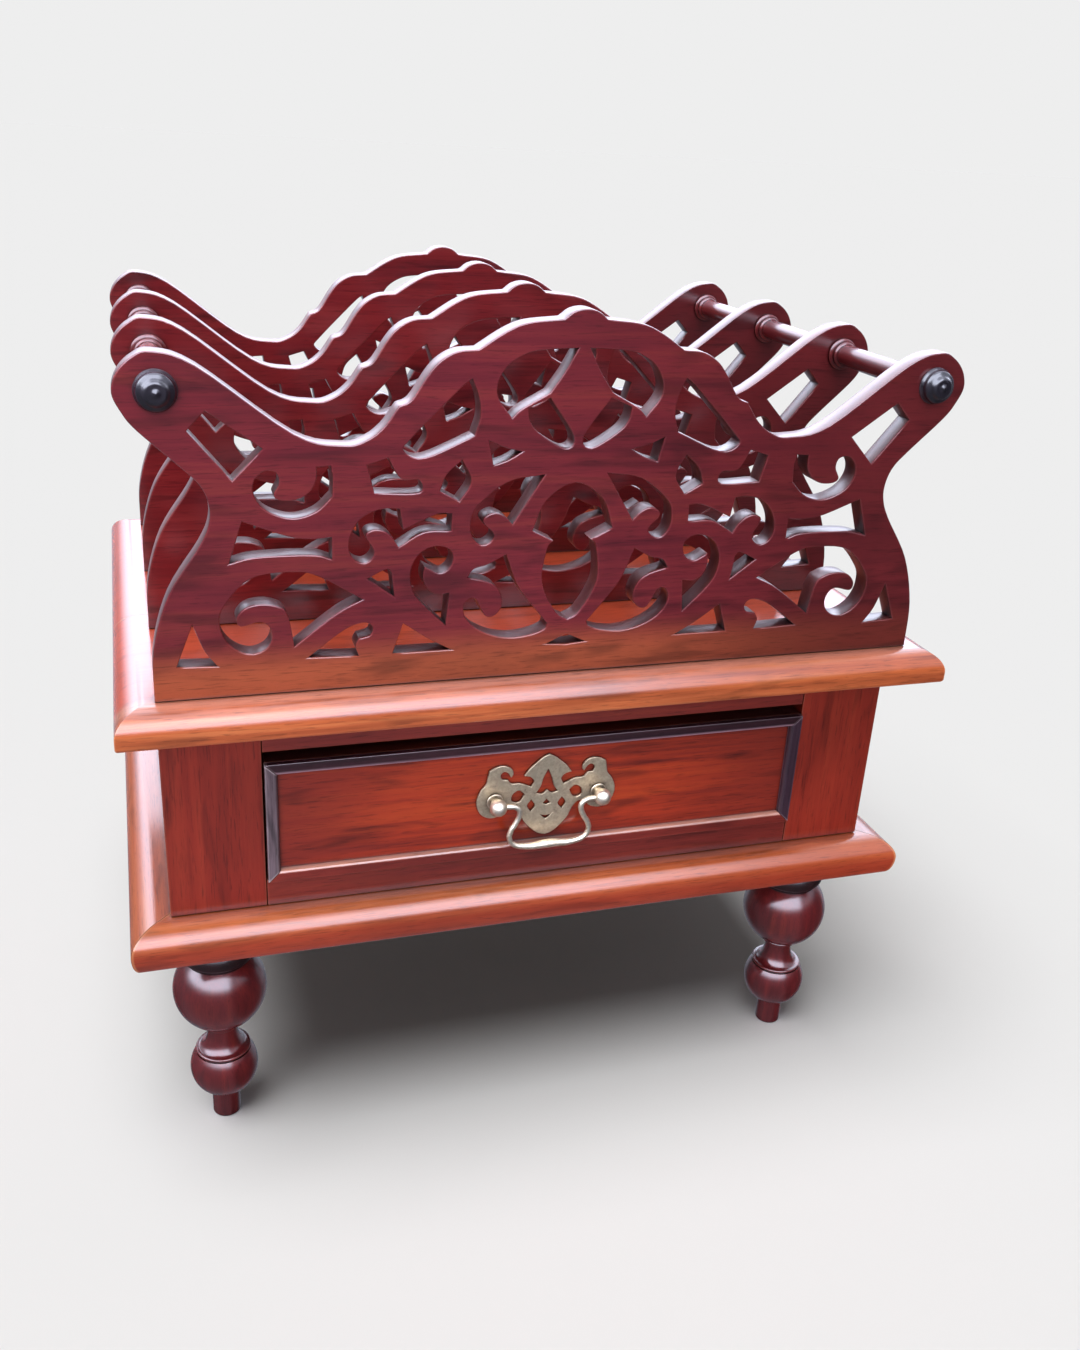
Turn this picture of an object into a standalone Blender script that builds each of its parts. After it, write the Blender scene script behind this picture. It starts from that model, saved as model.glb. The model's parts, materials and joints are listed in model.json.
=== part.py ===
"""Magazine canterbury: pierced fret panels held by spindles over a one-drawer case on turned feet.

Metres, +Z up, front towards -Y. The origin is on the floor under the middle of the case.
"""
import math

import bmesh
import bpy
from mathutils import Matrix, Vector
from mathutils.geometry import delaunay_2d_cdt, interpolate_bezier

GAP = 0.0003                      # glue line or seat between two pieces that touch

# Fret panels
FRET_COUNT = 4
FRET_PITCH = 0.112                # centre to centre, front to back
FRET_THICKNESS = 0.013
FRET_HEIGHT = 0.213
FRET_END_MARGIN = 0.0225          # top board left bare past each end of a panel's foot
FRET_TENON_LENGTH = 0.040
FRET_TENON_DEPTH = 0.010

# Top, two boards glued edge to edge
TOP_LENGTH = 0.520
TOP_THICKNESS = 0.021
TOP_MARGIN = 0.0175               # from the outer panel's face to the edge of the top
TOP_FRONT_BOARD = 0.156
TOP_FILLET = 0.0075               # upright part of the edge, under the thumb moulding
TOP_MOULDING_RUN = 0.017
EDGE_ROUND = 0.003                # rounding under the edges of the top and the plinth

# Case and plinth
CASE_HEIGHT = 0.132
TOP_OVERHANG_END = 0.0225
TOP_OVERHANG_FRONT = 0.036
STILE_WIDTH = 0.058
STILE_THICKNESS = 0.020
SIDE_THICKNESS = 0.016
BACK_THICKNESS = 0.010
TOP_RAIL_HEIGHT = 0.025
BOTTOM_RAIL_HEIGHT = 0.0185
BOTTOM_RAIL_DEPTH = 0.060
RAIL_TENON_LENGTH = 0.014
RAIL_TENON_THICKNESS = 0.007
RAIL_TENON_SHOULDER = 0.003
PLINTH_THICKNESS = 0.022
PLINTH_PROJECTION_END = 0.025
PLINTH_PROJECTION_FRONT = 0.0195
PLINTH_STRIP = 0.030
PLINTH_NOSE_LEVEL = 0.009
PLINTH_NOSE_RUN = 0.015

# Drawer and what guides it
DRAWER_SIDE_GAP = 0.001
DRAWER_TOP_GAP = 0.0065           # wide, as the drawer has worn down on its runners
DRAWER_BACK_SPACE = 0.022
DRAWER_FRONT_THICKNESS = 0.018
DRAWER_SIDE_THICKNESS = 0.009
DRAWER_BACK_THICKNESS = 0.008
DRAWER_BACK_DROP = 0.008
DRAWER_BOTTOM_THICKNESS = 0.005
DRAWER_BOTTOM_RISE = 0.008
DRAWER_GROOVE = 0.004
BEAD_WIDTH = 0.008
BEAD_PROUD = 0.004
BEAD_FLAT = 0.002
RUNNER_WIDTH = 0.056
GUIDE_HEIGHT = 0.020
STOP_LENGTH = 0.030
STOP_DEPTH = 0.022
STOP_HEIGHT = 0.005
STOP_SPACING = 0.190

# Drop handle
PULL_BORING = 0.070               # post to post
PULL_FALL = 0.001                 # posts below the middle of the drawer front
PULL_STANDOFF = 0.009             # bail axis in front of the plate
PLATE_THICKNESS = 0.0016
POST_STEM_RADIUS = 0.0022
POST_STEM_PROUD = 0.0015          # stem left past its nut
POST_FLANGE_RADIUS = 0.0055
POST_FLANGE_HEIGHT = 0.0014
POST_NECK_RADIUS = 0.0032
POST_BALL_RADIUS = 0.0056
NUT_WIDTH = 0.010
NUT_THICKNESS = 0.003
BAIL_END_RADIUS = 0.00175
BAIL_MIDDLE_RADIUS = 0.0029
BAIL_DROP = 0.0302
BAIL_BAR_START = 0.017            # where the bar begins, in from the post

# Turned feet, from the floor up
FOOT_INSET = 0.053                # foot centre in from the edges of the plinth
PEG_RADIUS = 0.00925
PEG_HEIGHT = 0.020
LOWER_BALL_RADIUS = 0.0225
FLARE_RADIUS = 0.020              # groove where the neck's flare meets the lower ball
NECK_RADIUS = 0.0095
NECK_HEIGHT = 0.0264              # from the flare's groove to the upper ball, with the ring
NECK_RING_RADIUS = 0.0125
NECK_RING_HEIGHT = 0.004
UPPER_BALL_RADIUS = 0.0305
COLLAR_SEAT_RADIUS = 0.0205       # groove between the upper ball and its collar
COLLAR_SEAT_HEIGHT = 0.0024
COLLAR_RADIUS = 0.025
COLLAR_HEIGHT = 0.0145
COVE_RADIUS = 0.019
COVE_HEIGHT = 0.0105
FLANGE_RADIUS = 0.027
FLANGE_HEIGHT = 0.010
DOWEL_RADIUS = 0.011
DOWEL_LENGTH = 0.016

# Turned spindles between the panels and bosses outside them
SPINDLE_RADIUS = 0.00675
SPINDLE_COLLAR_RADIUS = 0.0085
SPINDLE_COLLAR_LENGTH = 0.0035
SPINDLE_FLANGE_RADIUS = 0.0104
SPINDLE_FLANGE_LENGTH = 0.003
PIN_RADIUS = 0.004
BOSS_RADIUS = 0.011
BOSS_RING_RADIUS = 0.0085
BOSS_TIP_RADIUS = 0.0058
BOSS_STEP = 0.0035

# Worked out from the sizes above
LOWER_BALL_Z = PEG_HEIGHT + math.sqrt(LOWER_BALL_RADIUS ** 2 - PEG_RADIUS ** 2)
FLARE_Z = LOWER_BALL_Z + math.sqrt(LOWER_BALL_RADIUS ** 2 - FLARE_RADIUS ** 2)
NECK_RING_Z = FLARE_Z + NECK_HEIGHT
UPPER_BALL_Z = NECK_RING_Z + math.sqrt(UPPER_BALL_RADIUS ** 2 - NECK_RING_RADIUS ** 2)
COLLAR_Z = UPPER_BALL_Z + math.sqrt(UPPER_BALL_RADIUS ** 2 - COLLAR_SEAT_RADIUS ** 2)
PLINTH_Z = COLLAR_Z + COLLAR_HEIGHT + COVE_HEIGHT + FLANGE_HEIGHT
CASE_Z = PLINTH_Z + PLINTH_THICKNESS
TOP_Z = CASE_Z + CASE_HEIGHT
FRET_Z = TOP_Z + TOP_THICKNESS
TOP_DEPTH = (FRET_COUNT - 1) * FRET_PITCH + FRET_THICKNESS + 2 * TOP_MARGIN
CASE_LENGTH = TOP_LENGTH - 2 * TOP_OVERHANG_END
CASE_DEPTH = TOP_DEPTH - 2 * TOP_OVERHANG_FRONT
CASE_FRONT = -CASE_DEPTH / 2
PLINTH_LENGTH = CASE_LENGTH + 2 * PLINTH_PROJECTION_END
PLINTH_DEPTH = CASE_DEPTH + 2 * PLINTH_PROJECTION_FRONT
FRET_FOOT = TOP_LENGTH - 2 * FRET_END_MARGIN
FRET_TENON_PLACES = [k * FRET_FOOT / 3 for k in (-1, 0, 1)]
PIN_LENGTH = FRET_THICKNESS / 2
FRET_PLACES = [(i - (FRET_COUNT - 1) / 2) * FRET_PITCH for i in range(FRET_COUNT)]
OPENING_HALF = CASE_LENGTH / 2 - STILE_WIDTH
OPENING_LOW = CASE_Z + BOTTOM_RAIL_HEIGHT
OPENING_HIGH = TOP_Z - TOP_RAIL_HEIGHT
INSIDE_HALF = CASE_LENGTH / 2 - SIDE_THICKNESS - GAP
INSIDE_BACK = CASE_DEPTH / 2 - BACK_THICKNESS - GAP
DRAWER_HALF = OPENING_HALF - DRAWER_SIDE_GAP
DRAWER_LOW = OPENING_LOW + GAP
DRAWER_HIGH = OPENING_HIGH - DRAWER_TOP_GAP
DRAWER_END = CASE_DEPTH / 2 - BACK_THICKNESS - DRAWER_BACK_SPACE
DRAWER_BOTTOM_Z = DRAWER_LOW + DRAWER_BOTTOM_RISE
PULL_Z = (DRAWER_LOW + DRAWER_HIGH) / 2 - PULL_FALL
PLATE_FACE = CASE_FRONT - GAP - PLATE_THICKNESS
PULL_AXIS_Y = PLATE_FACE - PULL_STANDOFF

# The fret drawing, right half, in millimetres at full size: out from the middle, up from the foot.
# A third value of SHARP marks a corner; the other points lie on smooth curves.
SHARP = True
DRAWING_FOOT = 475.0
DRAWING_HEIGHT = 213.0
DRAWING_LOBE = (226.0, 170.5)    # middle of the round end that takes a spindle
FRET_OUTLINE = [
    (237.5, 0, SHARP), (236, 30.5), (226.5, 61.5), (209, 88.5), (203.5, 100.5), (203, 110.5),
    (206.5, 120.5), (215, 130), (236, 150), (243, 159.5), (247, 169.5), (244, 179.5), (236.5, 187),
    (227, 190), (206, 183), (158, 147.5), (132, 141), (120, 143.5), (110.5, 150.5),
    (102.5, 161.5, SHARP), (95.5, 165), (86.5, 178.5), (80, 185.5), (71, 190.2), (59.5, 191.3, SHARP),
    (44, 201), (32, 205.5), (12.5, 207.5, SHARP), (7, 211.5), (0, 213)]
FRET_PIERCINGS = {
    "lobe slot": [
        (212, 150, SHARP), (202.5, 160, SHARP), (174.5, 140, SHARP), (190.5, 123.5, SHARP)],
    "smile": [
        (174, 128), (168, 127), (166.5, 121.5), (169.5, 115), (166, 112), (158, 112), (151, 115.5),
        (147, 122), (146.5, 129.5, SHARP), (139, 130, SHARP), (138, 123.5), (138.5, 113.5, SHARP),
        (147, 105.5), (158, 102), (168, 104), (176, 109), (180, 116.5), (179, 123.5)],
    "waist wedge": [
        (186.5, 101, SHARP), (194, 78, SHARP), (180, 81), (150, 81), (139, 78, SHARP),
        (139, 90.5, SHARP), (150, 89.8), (163, 92)],
    "great scroll": [
        (160, 71.5), (146, 68), (122.5, 53.5, SHARP), (137, 46), (160.5, 28, SHARP), (164, 47),
        (170, 52.5), (179, 54), (187, 52), (191.5, 46.5), (189.5, 41.5), (179, 43.5), (174, 40),
        (172.8, 33.5), (176.5, 27.5), (184, 25), (192, 28), (198, 34.5), (200.5, 43.5), (198, 53.5),
        (183, 69)],
    "corner": [
        (215, 44, SHARP), (224.5, 20, SHARP), (203, 19, SHARP), (209.5, 28.5)],
    "fleur": [
        (153, 20.5, SHARP), (136, 33.5), (127, 38.3), (120, 39.3), (116.5, 36), (118, 31.8),
        (124.5, 30, SHARP), (126.5, 25.5), (124.5, 19.5, SHARP)],
    "dart": [
        (119.5, 65.5, SHARP), (109, 70.5), (106, 68.5, SHARP), (104.3, 54.3, SHARP)],
    "foot triangle": [
        (99, 37.5, SHARP), (105, 19.5, SHARP), (71, 19.5, SHARP), (84, 27)],
    "tailed scroll": [
        (74.3, 35, SHARP), (90, 51), (94.5, 60.5), (94.8, 69.5), (91, 77.5), (85, 81.8), (78, 82.7),
        (72, 79.5), (70.8, 74), (73.5, 69), (79, 67), (87, 71, SHARP), (88, 64.5), (85.5, 58),
        (80, 54), (72.5, 54.5, SHARP)],
    "arched scroll": [
        (72, 101.3, SHARP), (80.5, 101.3), (99.5, 93, SHARP), (101.5, 105, SHARP), (109, 105.5),
        (117, 103.8), (124, 99), (128.5, 91.5), (129.7, 83.5), (127, 77.5), (121.5, 75), (117, 77.5),
        (116, 82), (120.5, 90.5), (116.5, 93.8), (111, 93.2), (106, 89.5), (102, 83.3, SHARP),
        (88, 91.3), (72.3, 91.5, SHARP)],
    "comma": [
        (19, 122, SHARP), (40, 118.5), (57.5, 105), (61, 95.5), (60, 88), (55.5, 82.8), (50, 83.5),
        (47.3, 88.3), (53.5, 95), (52.5, 99), (47, 101), (41, 98.5), (36.5, 94, SHARP)],
    "hooked scroll": [
        (39.5, 76, SHARP), (31, 55.5), (12.5, 32, SHARP), (14, 28.8), (22, 25.8), (34, 24.5),
        (46, 26.8), (56.5, 32.2), (62.5, 39), (63.8, 45.5), (61, 50), (56.5, 49.5), (51, 39.5),
        (46, 38.5), (41.5, 43), (41, 49.5), (44.5, 56.5), (51, 60.5), (61.8, 63.3, SHARP), (58, 68.3),
        (50, 70.5)],
    "crown": [
        (3.5, 192, SHARP), (25, 190.8), (35, 188), (43.5, 182), (48, 173.5), (47.5, 165),
        (39.5, 154.5, SHARP), (34, 159.5), (18.5, 168, SHARP), (10.8, 179)],
    "petal": [
        (30.5, 159.5, SHARP), (29, 152.5), (23.5, 146), (8, 137), (3, 143.5), (18, 165, SHARP)],
    "shoulder": [
        (62.5, 175.5, SHARP), (58.5, 165.5), (57.5, 155.5), (60.5, 145, SHARP), (88, 133.5),
        (99.5, 137.5), (95, 144.5), (69, 170.5)],
    "chip": [
        (52, 142, SHARP), (43, 138), (33, 135.5, SHARP), (41, 131), (49, 128.3, SHARP)],
    "kite": [
        (67, 131.5, SHARP), (61.5, 119.5), (68, 108.5, SHARP), (79, 114.5, SHARP), (75.5, 123.5)],
    "flag": [
        (119.5, 130, SHARP), (108, 133.5, SHARP), (101, 122), (91, 121), (91, 114),
        (115.5, 114.5, SHARP)],
}
# Piercings that cross the middle, right half from top to bottom
FRET_MIDDLE_PIERCINGS = {
    "vase": [
        (0, 117), (17, 107), (24.3, 89.5, SHARP), (11.5, 83, SHARP), (15, 78), (16.8, 57.5), (7.5, 39),
        (0, 34, SHARP)],
    "knot": [
        (0, 24.5, SHARP), (12, 19, SHARP), (0, 18, SHARP)],
}

# The pull's back plate, right half, in millimetres from the middle of the boring, for that boring
DRAWING_BORING = 70.0
PLATE_OUTLINE = [
    (0, -28.8, SHARP), (4.8, -27.2), (10, -23), (15, -16.8), (17.9, -10.5), (21.5, -6.4), (26, -6.4),
    (29.5, -10.4), (34.5, -12.4), (39.5, -12), (44, -8.8), (46.6, -3.2), (46.8, 2), (44.5, 8),
    (41, 12.6), (40.2, 16.5), (39.2, 21.8, SHARP), (33.8, 24.3), (28.6, 24.4), (24.5, 21.8),
    (23.2, 18.2), (24.6, 15.6, SHARP), (26.6, 18.9), (29.2, 20.2), (31.6, 18.3), (30.6, 15),
    (26.8, 14.4, SHARP), (24.4, 11.4), (18, 10.8), (11, 7.6, SHARP), (9.2, 11.4), (11.4, 14.6),
    (16, 15.9, SHARP), (12.8, 20.4), (8.8, 24.2), (4.2, 28), (0, 30.2, SHARP)]
PLATE_PIERCINGS = {
    "side": [(15.2, 2.6, SHARP), (18.5, 5.6), (22, 4.6), (24, 1), (22.8, -2.2), (18.2, -2.4)],
    "diamond": [(10.4, -1.8, SHARP), (13, -6), (10.6, -10.6, SHARP), (7.8, -6.4)],
}
PLATE_MIDDLE_PIERCINGS = {
    "arch": [(0, 19.4, SHARP), (2.9, 13), (4.6, 7), (7.4, 2.7, SHARP), (3.2, 1.8), (0, 4.4, SHARP)],
    "bud": [(0, -2.4, SHARP), (2.6, -5.4, SHARP), (0, -6.4, SHARP)],
    "grin": [(0, -14.6), (3.8, -13.6, SHARP), (0, -16.8)],
}
# The bail's arm, in millimetres: in from the post, and down from the axis for this drop
DRAWING_BAIL_DROP = 30.2
BAIL_ARM = [
    (1.0, 0), (6.8, 0), (11.2, -0.8), (14, -3.4), (14.2, -7.2), (12, -12.6), (9, -17.8),
    (8.1, -22.5), (10.2, -27.3)]

LOBE_X = DRAWING_LOBE[0] * FRET_FOOT / DRAWING_FOOT
LOBE_HEIGHT = DRAWING_LOBE[1] * FRET_HEIGHT / DRAWING_HEIGHT
PULL_SCALE = PULL_BORING / DRAWING_BORING

# Facets
FOOT_SIDES = 12
SMALL_SIDES = 8
CURVE_STEPS = 1                   # facets from one drawing point to the next
MOULDING_STEPS = 5
EDGE_STEPS = 2
BALL_STEPS = 5
COVE_STEPS = 3
SAME_POINT = 1e-7

# Colour, roughness and metallic value
FINISHES = {
    "fret": ((0.125, 0.020, 0.020), 0.30, 0.0),
    "moulding": ((0.350, 0.085, 0.030), 0.28, 0.0),
    "case": ((0.190, 0.042, 0.024), 0.32, 0.0),
    "drawer_front": ((0.300, 0.045, 0.018), 0.28, 0.0),
    "turned": ((0.120, 0.022, 0.018), 0.25, 0.0),
    "inner": ((0.420, 0.240, 0.120), 0.60, 0.0),
    "brass": ((0.400, 0.330, 0.210), 0.35, 1.0),
}

FLAT = Matrix.Identity(4)
UPRIGHT = Matrix.Rotation(math.pi / 2, 4, "X")       # stands a flat drawing up, its face to the front
REVERSED = Matrix.Rotation(-math.pi / 2, 4, "X")     # its face to the back


def clear_scene():
    for thing in list(bpy.data.objects):
        bpy.data.objects.remove(thing, do_unlink=True)


def attach(thing, parent):
    """Parent a thing to an empty and leave it where it stands in the world."""
    thing.parent = parent
    thing.matrix_parent_inverse = Matrix.Translation(-parent.location)


def add_empty(name, location):
    empty = bpy.data.objects.new(name, None)
    bpy.context.collection.objects.link(empty)
    empty.location = location
    return empty


def make_material(name, finish):
    base, roughness, metallic = FINISHES[finish]
    material = bpy.data.materials.new(name)
    material.use_nodes = True
    shader = material.node_tree.nodes["Principled BSDF"]
    shader.inputs["Base Color"].default_value = (*base, 1.0)
    shader.inputs["Roughness"].default_value = roughness
    shader.inputs["Metallic"].default_value = metallic
    return material


def make_mesh(name, bm):
    bmesh.ops.recalc_face_normals(bm, faces=bm.faces)
    mesh = bpy.data.meshes.new(name)
    bm.to_mesh(mesh)
    bm.free()
    return mesh


def add_object(name, bm, finish, parent, location=(0, 0, 0), turn=FLAT, smooth=False):
    mesh = make_mesh(name, bm)
    mesh.materials.append(make_material(name, finish))
    if smooth:
        mesh.shade_smooth()
        mesh.set_sharp_from_angle(angle=math.radians(40))
    thing = bpy.data.objects.new(name, mesh)
    bpy.context.collection.objects.link(thing)
    thing.location = location
    thing.rotation_euler = turn.to_euler()
    attach(thing, parent)
    return thing


def cut(target, bm):
    """Take the solids in bm, which stand where they are in the world, out of an object."""
    mesh = make_mesh(target.name + "_cutter", bm)
    cutter = bpy.data.objects.new(mesh.name, mesh)
    bpy.context.collection.objects.link(cutter)
    cutter.hide_render = True
    cutter.display_type = "WIRE"
    modifier = target.modifiers.new("cut", "BOOLEAN")
    modifier.operation = "DIFFERENCE"
    modifier.solver = "EXACT"
    modifier.object = cutter


def loft(rings, bm=None):
    """Skin rings that have the same count of points, and cap the first and the last."""
    bm = bm or bmesh.new()
    rows = [[bm.verts.new(point) for point in ring] for ring in rings]
    for low, high in zip(rows, rows[1:]):
        for i in range(len(low)):
            j = (i + 1) % len(low)
            bm.faces.new((low[i], low[j], high[j], high[i]))
    bm.faces.new(reversed(rows[0]))
    bm.faces.new(rows[-1])
    return bm


def box(low, high, bm=None):
    """A block between two corners."""
    x0, y0, z0 = low
    x1, y1, z1 = high
    return loft([[(x0, y0, z), (x1, y0, z), (x1, y1, z), (x0, y1, z)] for z in (z0, z1)], bm)


def add_block(name, low, high, finish, parent):
    """A board or block with its origin at its own middle."""
    middle = (Vector(low) + Vector(high)) / 2
    return add_object(name, box(Vector(low) - middle, Vector(high) - middle), finish, parent, middle)


def add_pair(name, low, high, finish, parent):
    """The same block on the right and, mirrored, on the left."""
    add_block(name + "_right", low, high, finish, parent)
    add_block(name + "_left", (-high[0], low[1], low[2]), (-low[0], high[1], high[2]), finish, parent)


def turned(profile, sides):
    """Revolve (radius, height) points, from the top down, about Z."""
    bm = bmesh.new()
    verts = [bm.verts.new((radius, 0, height)) for radius, height in profile]
    edges = [bm.edges.new(pair) for pair in zip(verts, verts[1:])]
    bmesh.ops.spin(bm, geom=verts + edges, cent=(0, 0, 0), axis=(0, 0, 1), angle=math.tau,
                   steps=sides, use_merge=True)
    bmesh.ops.remove_doubles(bm, verts=bm.verts, dist=SAME_POINT)
    return bm


def arc(centre, radii, start, end, steps):
    """Points on an ellipse, from start to end in degrees."""
    angles = [math.radians(start + (end - start) * i / steps) for i in range(steps + 1)]
    return [(centre[0] + radii[0] * math.cos(a), centre[1] + radii[1] * math.sin(a)) for a in angles]


def ball(radius, height, top_radius, bottom_radius):
    """A ball's profile from the circle of top_radius down to that of bottom_radius."""
    start = math.degrees(math.acos(top_radius / radius))
    end = -math.degrees(math.acos(bottom_radius / radius))
    return arc((0, height), (radius, radius), start, end, BALL_STEPS)


def circle(x, y, radius, sides=SMALL_SIDES):
    return [Vector(p) for p in arc((x, y), (radius, radius), 0, 360, sides)[:-1]]


def mirror(points):
    return [(-p[0], *p[1:]) for p in reversed(points)]


def whole(half):
    """Both halves of an outline that starts and ends on the middle line."""
    return half + mirror(half)[1:-1]


def curve(points, closed, scale):
    """A curve through drawing points, smooth but for those marked SHARP, scaled in each axis."""
    count = len(points)
    spots = [Vector((p[0] * scale[0], p[1] * scale[1])) for p in points]
    sharp = [len(p) > 2 for p in points]
    result = []
    for i in range(count if closed else count - 1):
        here = spots[i]
        after = spots[(i + 1) % count]
        before = spots[i - 1] if closed or i > 0 else here
        beyond = spots[(i + 2) % count] if closed or i + 2 < count else after
        leave = after - here if sharp[i] else (after - before) / 2
        arrive = after - here if sharp[(i + 1) % count] else (beyond - here) / 2
        reach = (here, here + leave / 3, after - arrive / 3, after)
        result += interpolate_bezier(*reach, CURVE_STEPS + 1)[:-1]
    if not closed:
        result.append(spots[-1])
    return [Vector(p[:2]) for p in result]


def piercing_loops(pairs, middles, scale):
    """Closed curves of the piercings: each pair on both sides, and those that cross the middle."""
    loops = []
    for points in pairs.values():
        loops += [curve(points, True, scale), curve(mirror(points), True, scale)]
    loops += [curve(whole(half), True, scale) for half in middles.values()]
    return loops


def inside(point, loop):
    """Whether a point lies inside a closed loop."""
    within = False
    for a, b in zip(loop, loop[1:] + loop[:1]):
        if (a.y > point.y) != (b.y > point.y):
            crossing = a.x + (point.y - a.y) * (b.x - a.x) / (b.y - a.y)
            within = within != (point.x < crossing)
    return within


def pierced_slab(loops, thickness):
    """A flat slab in XY about Z 0: the first loop is its outline, the others are holes."""
    points = []
    edges = []
    for loop in loops:
        first = len(points)
        points += loop
        edges += [(first + i, first + (i + 1) % len(loop)) for i in range(len(loop))]
    inside_outline = 1
    flat, _, faces, _, _, _ = delaunay_2d_cdt(points, edges, [], inside_outline, SAME_POINT)
    bm = bmesh.new()
    verts = [bm.verts.new((p.x, p.y, -thickness / 2)) for p in flat]
    for face in faces:
        centre = sum((flat[i] for i in face), Vector((0, 0))) / len(face)
        if not any(inside(centre, loop) for loop in loops[1:]):
            bm.faces.new([verts[i] for i in face])
    grown = bmesh.ops.extrude_face_region(bm, geom=bm.faces[:], use_keep_orig=True)
    raised = [item for item in grown["geom"] if isinstance(item, bmesh.types.BMVert)]
    bmesh.ops.translate(bm, verts=raised, vec=(0, 0, thickness))
    return bm


def mitred_strip(half_length, half_width, profile):
    """The -Y strip of a mitred frame; its profile is (in from the outer edge, height)."""
    rings = []
    for side in (-1, 1):
        ends = [(side * (half_length - inset - GAP), inset - half_width, height) for inset, height in profile]
        rings.append(ends)
    return loft(rings)


def add_mitred_frame(names, half_x, half_y, profile, finish, parent, location, turn):
    """Four strips, named from the -Y one round to the right."""
    for quarter, name in enumerate(names):
        halves = (half_x, half_y) if quarter % 2 == 0 else (half_y, half_x)
        place = turn @ Matrix.Rotation(quarter * math.pi / 2, 4, "Z")
        add_object(name, mitred_strip(*halves, profile), finish, parent, location, place)


def fret_loops():
    """Outline of a panel with its tenons, then the piercings and the bores for the spindle pins."""
    scale = (FRET_FOOT / DRAWING_FOOT, FRET_HEIGHT / DRAWING_HEIGHT)
    outline = curve(FRET_OUTLINE + mirror(FRET_OUTLINE)[1:], False, scale)
    for x in FRET_TENON_PLACES:
        left = x - FRET_TENON_LENGTH / 2
        right = x + FRET_TENON_LENGTH / 2
        tenon = [(left, 0), (left, -FRET_TENON_DEPTH), (right, -FRET_TENON_DEPTH), (right, 0)]
        outline += [Vector(p) for p in tenon]
    bores = [circle(side * LOBE_X, LOBE_HEIGHT, PIN_RADIUS + GAP) for side in (-1, 1)]
    return [outline] + piercing_loops(FRET_PIERCINGS, FRET_MIDDLE_PIERCINGS, scale) + bores


def build_fret_panels(stand):
    for number, y in enumerate(FRET_PLACES, start=1):
        panel = pierced_slab(fret_loops(), FRET_THICKNESS)
        add_object(f"fret_panel_{number}", panel, "fret", stand, (0, y, FRET_Z + GAP), UPRIGHT)


def spindle_profile():
    end = (FRET_PITCH - FRET_THICKNESS) / 2 - GAP
    flange = end - SPINDLE_FLANGE_LENGTH
    collar = flange - SPINDLE_COLLAR_LENGTH
    half = [(0, end + PIN_LENGTH), (PIN_RADIUS, end + PIN_LENGTH), (PIN_RADIUS, end),
            (SPINDLE_FLANGE_RADIUS, end), (SPINDLE_FLANGE_RADIUS, flange),
            (SPINDLE_COLLAR_RADIUS, flange), (SPINDLE_COLLAR_RADIUS, collar),
            (SPINDLE_RADIUS, collar - (SPINDLE_COLLAR_RADIUS - SPINDLE_RADIUS))]
    return half + [(radius, -height) for radius, height in reversed(half)]


def boss_profile():
    tip = arc((0, 2 * BOSS_STEP), (BOSS_TIP_RADIUS, BOSS_TIP_RADIUS), 90, 0, BALL_STEPS // 2)
    return tip + [
        (BOSS_RING_RADIUS, 2 * BOSS_STEP), (BOSS_RING_RADIUS, BOSS_STEP),
        (BOSS_RADIUS, BOSS_STEP), (BOSS_RADIUS, 0),
        (PIN_RADIUS, 0), (PIN_RADIUS, -PIN_LENGTH), (0, -PIN_LENGTH)]


def build_spindles(stand):
    height = FRET_Z + GAP + LOBE_HEIGHT
    face = FRET_PLACES[-1] + FRET_THICKNESS / 2 + GAP
    for word, x in (("left", -LOBE_X), ("right", LOBE_X)):
        for number, (front, back) in enumerate(zip(FRET_PLACES, FRET_PLACES[1:]), start=1):
            add_object(f"spindle_{word}_{number}", turned(spindle_profile(), SMALL_SIDES), "turned", stand,
                       (x, (front + back) / 2, height), UPRIGHT, smooth=True)
        for end, y, turn in (("front", -face, UPRIGHT), ("back", face, REVERSED)):
            add_object(f"boss_{end}_{word}", turned(boss_profile(), SMALL_SIDES), "turned", stand,
                       (x, y, height), turn, smooth=True)


def moulded_edge(run, thickness, fillet):
    """A moulded edge as (inset, height): rounded below, upright, then an elliptical thumb."""
    below = arc((EDGE_ROUND, EDGE_ROUND), (EDGE_ROUND, EDGE_ROUND), 270, 180, EDGE_STEPS)
    return below + arc((run, fillet), (run, thickness - fillet), 180, 90, MOULDING_STEPS)


def moulded_board(front, back, front_moulded):
    """One board of the top: moulded at its ends and at its front or its back edge."""
    rings = []
    for inset, height in moulded_edge(TOP_MOULDING_RUN, TOP_THICKNESS, TOP_FILLET):
        x = TOP_LENGTH / 2 - inset
        y0 = front + inset if front_moulded else front
        y1 = back if front_moulded else back - inset
        z = TOP_Z + height
        rings.append([(-x, y0, z), (x, y0, z), (x, y1, z), (-x, y1, z)])
    return loft(rings)


def fret_mortises():
    bm = bmesh.new()
    half_length = FRET_TENON_LENGTH / 2 + GAP
    half_thickness = FRET_THICKNESS / 2 + GAP
    for y in FRET_PLACES:
        for x in FRET_TENON_PLACES:
            box((x - half_length, y - half_thickness, FRET_Z - FRET_TENON_DEPTH),
                (x + half_length, y + half_thickness, FRET_Z + FRET_TENON_DEPTH), bm)
    return bm


def build_top(stand):
    joint = TOP_FRONT_BOARD - TOP_DEPTH / 2
    front = add_object("top_board_front", moulded_board(-TOP_DEPTH / 2, joint, True), "moulding", stand)
    back = add_object("top_board_back", moulded_board(joint + GAP, TOP_DEPTH / 2, False), "moulding", stand)
    for board in (front, back):
        cut(board, fret_mortises())


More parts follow.
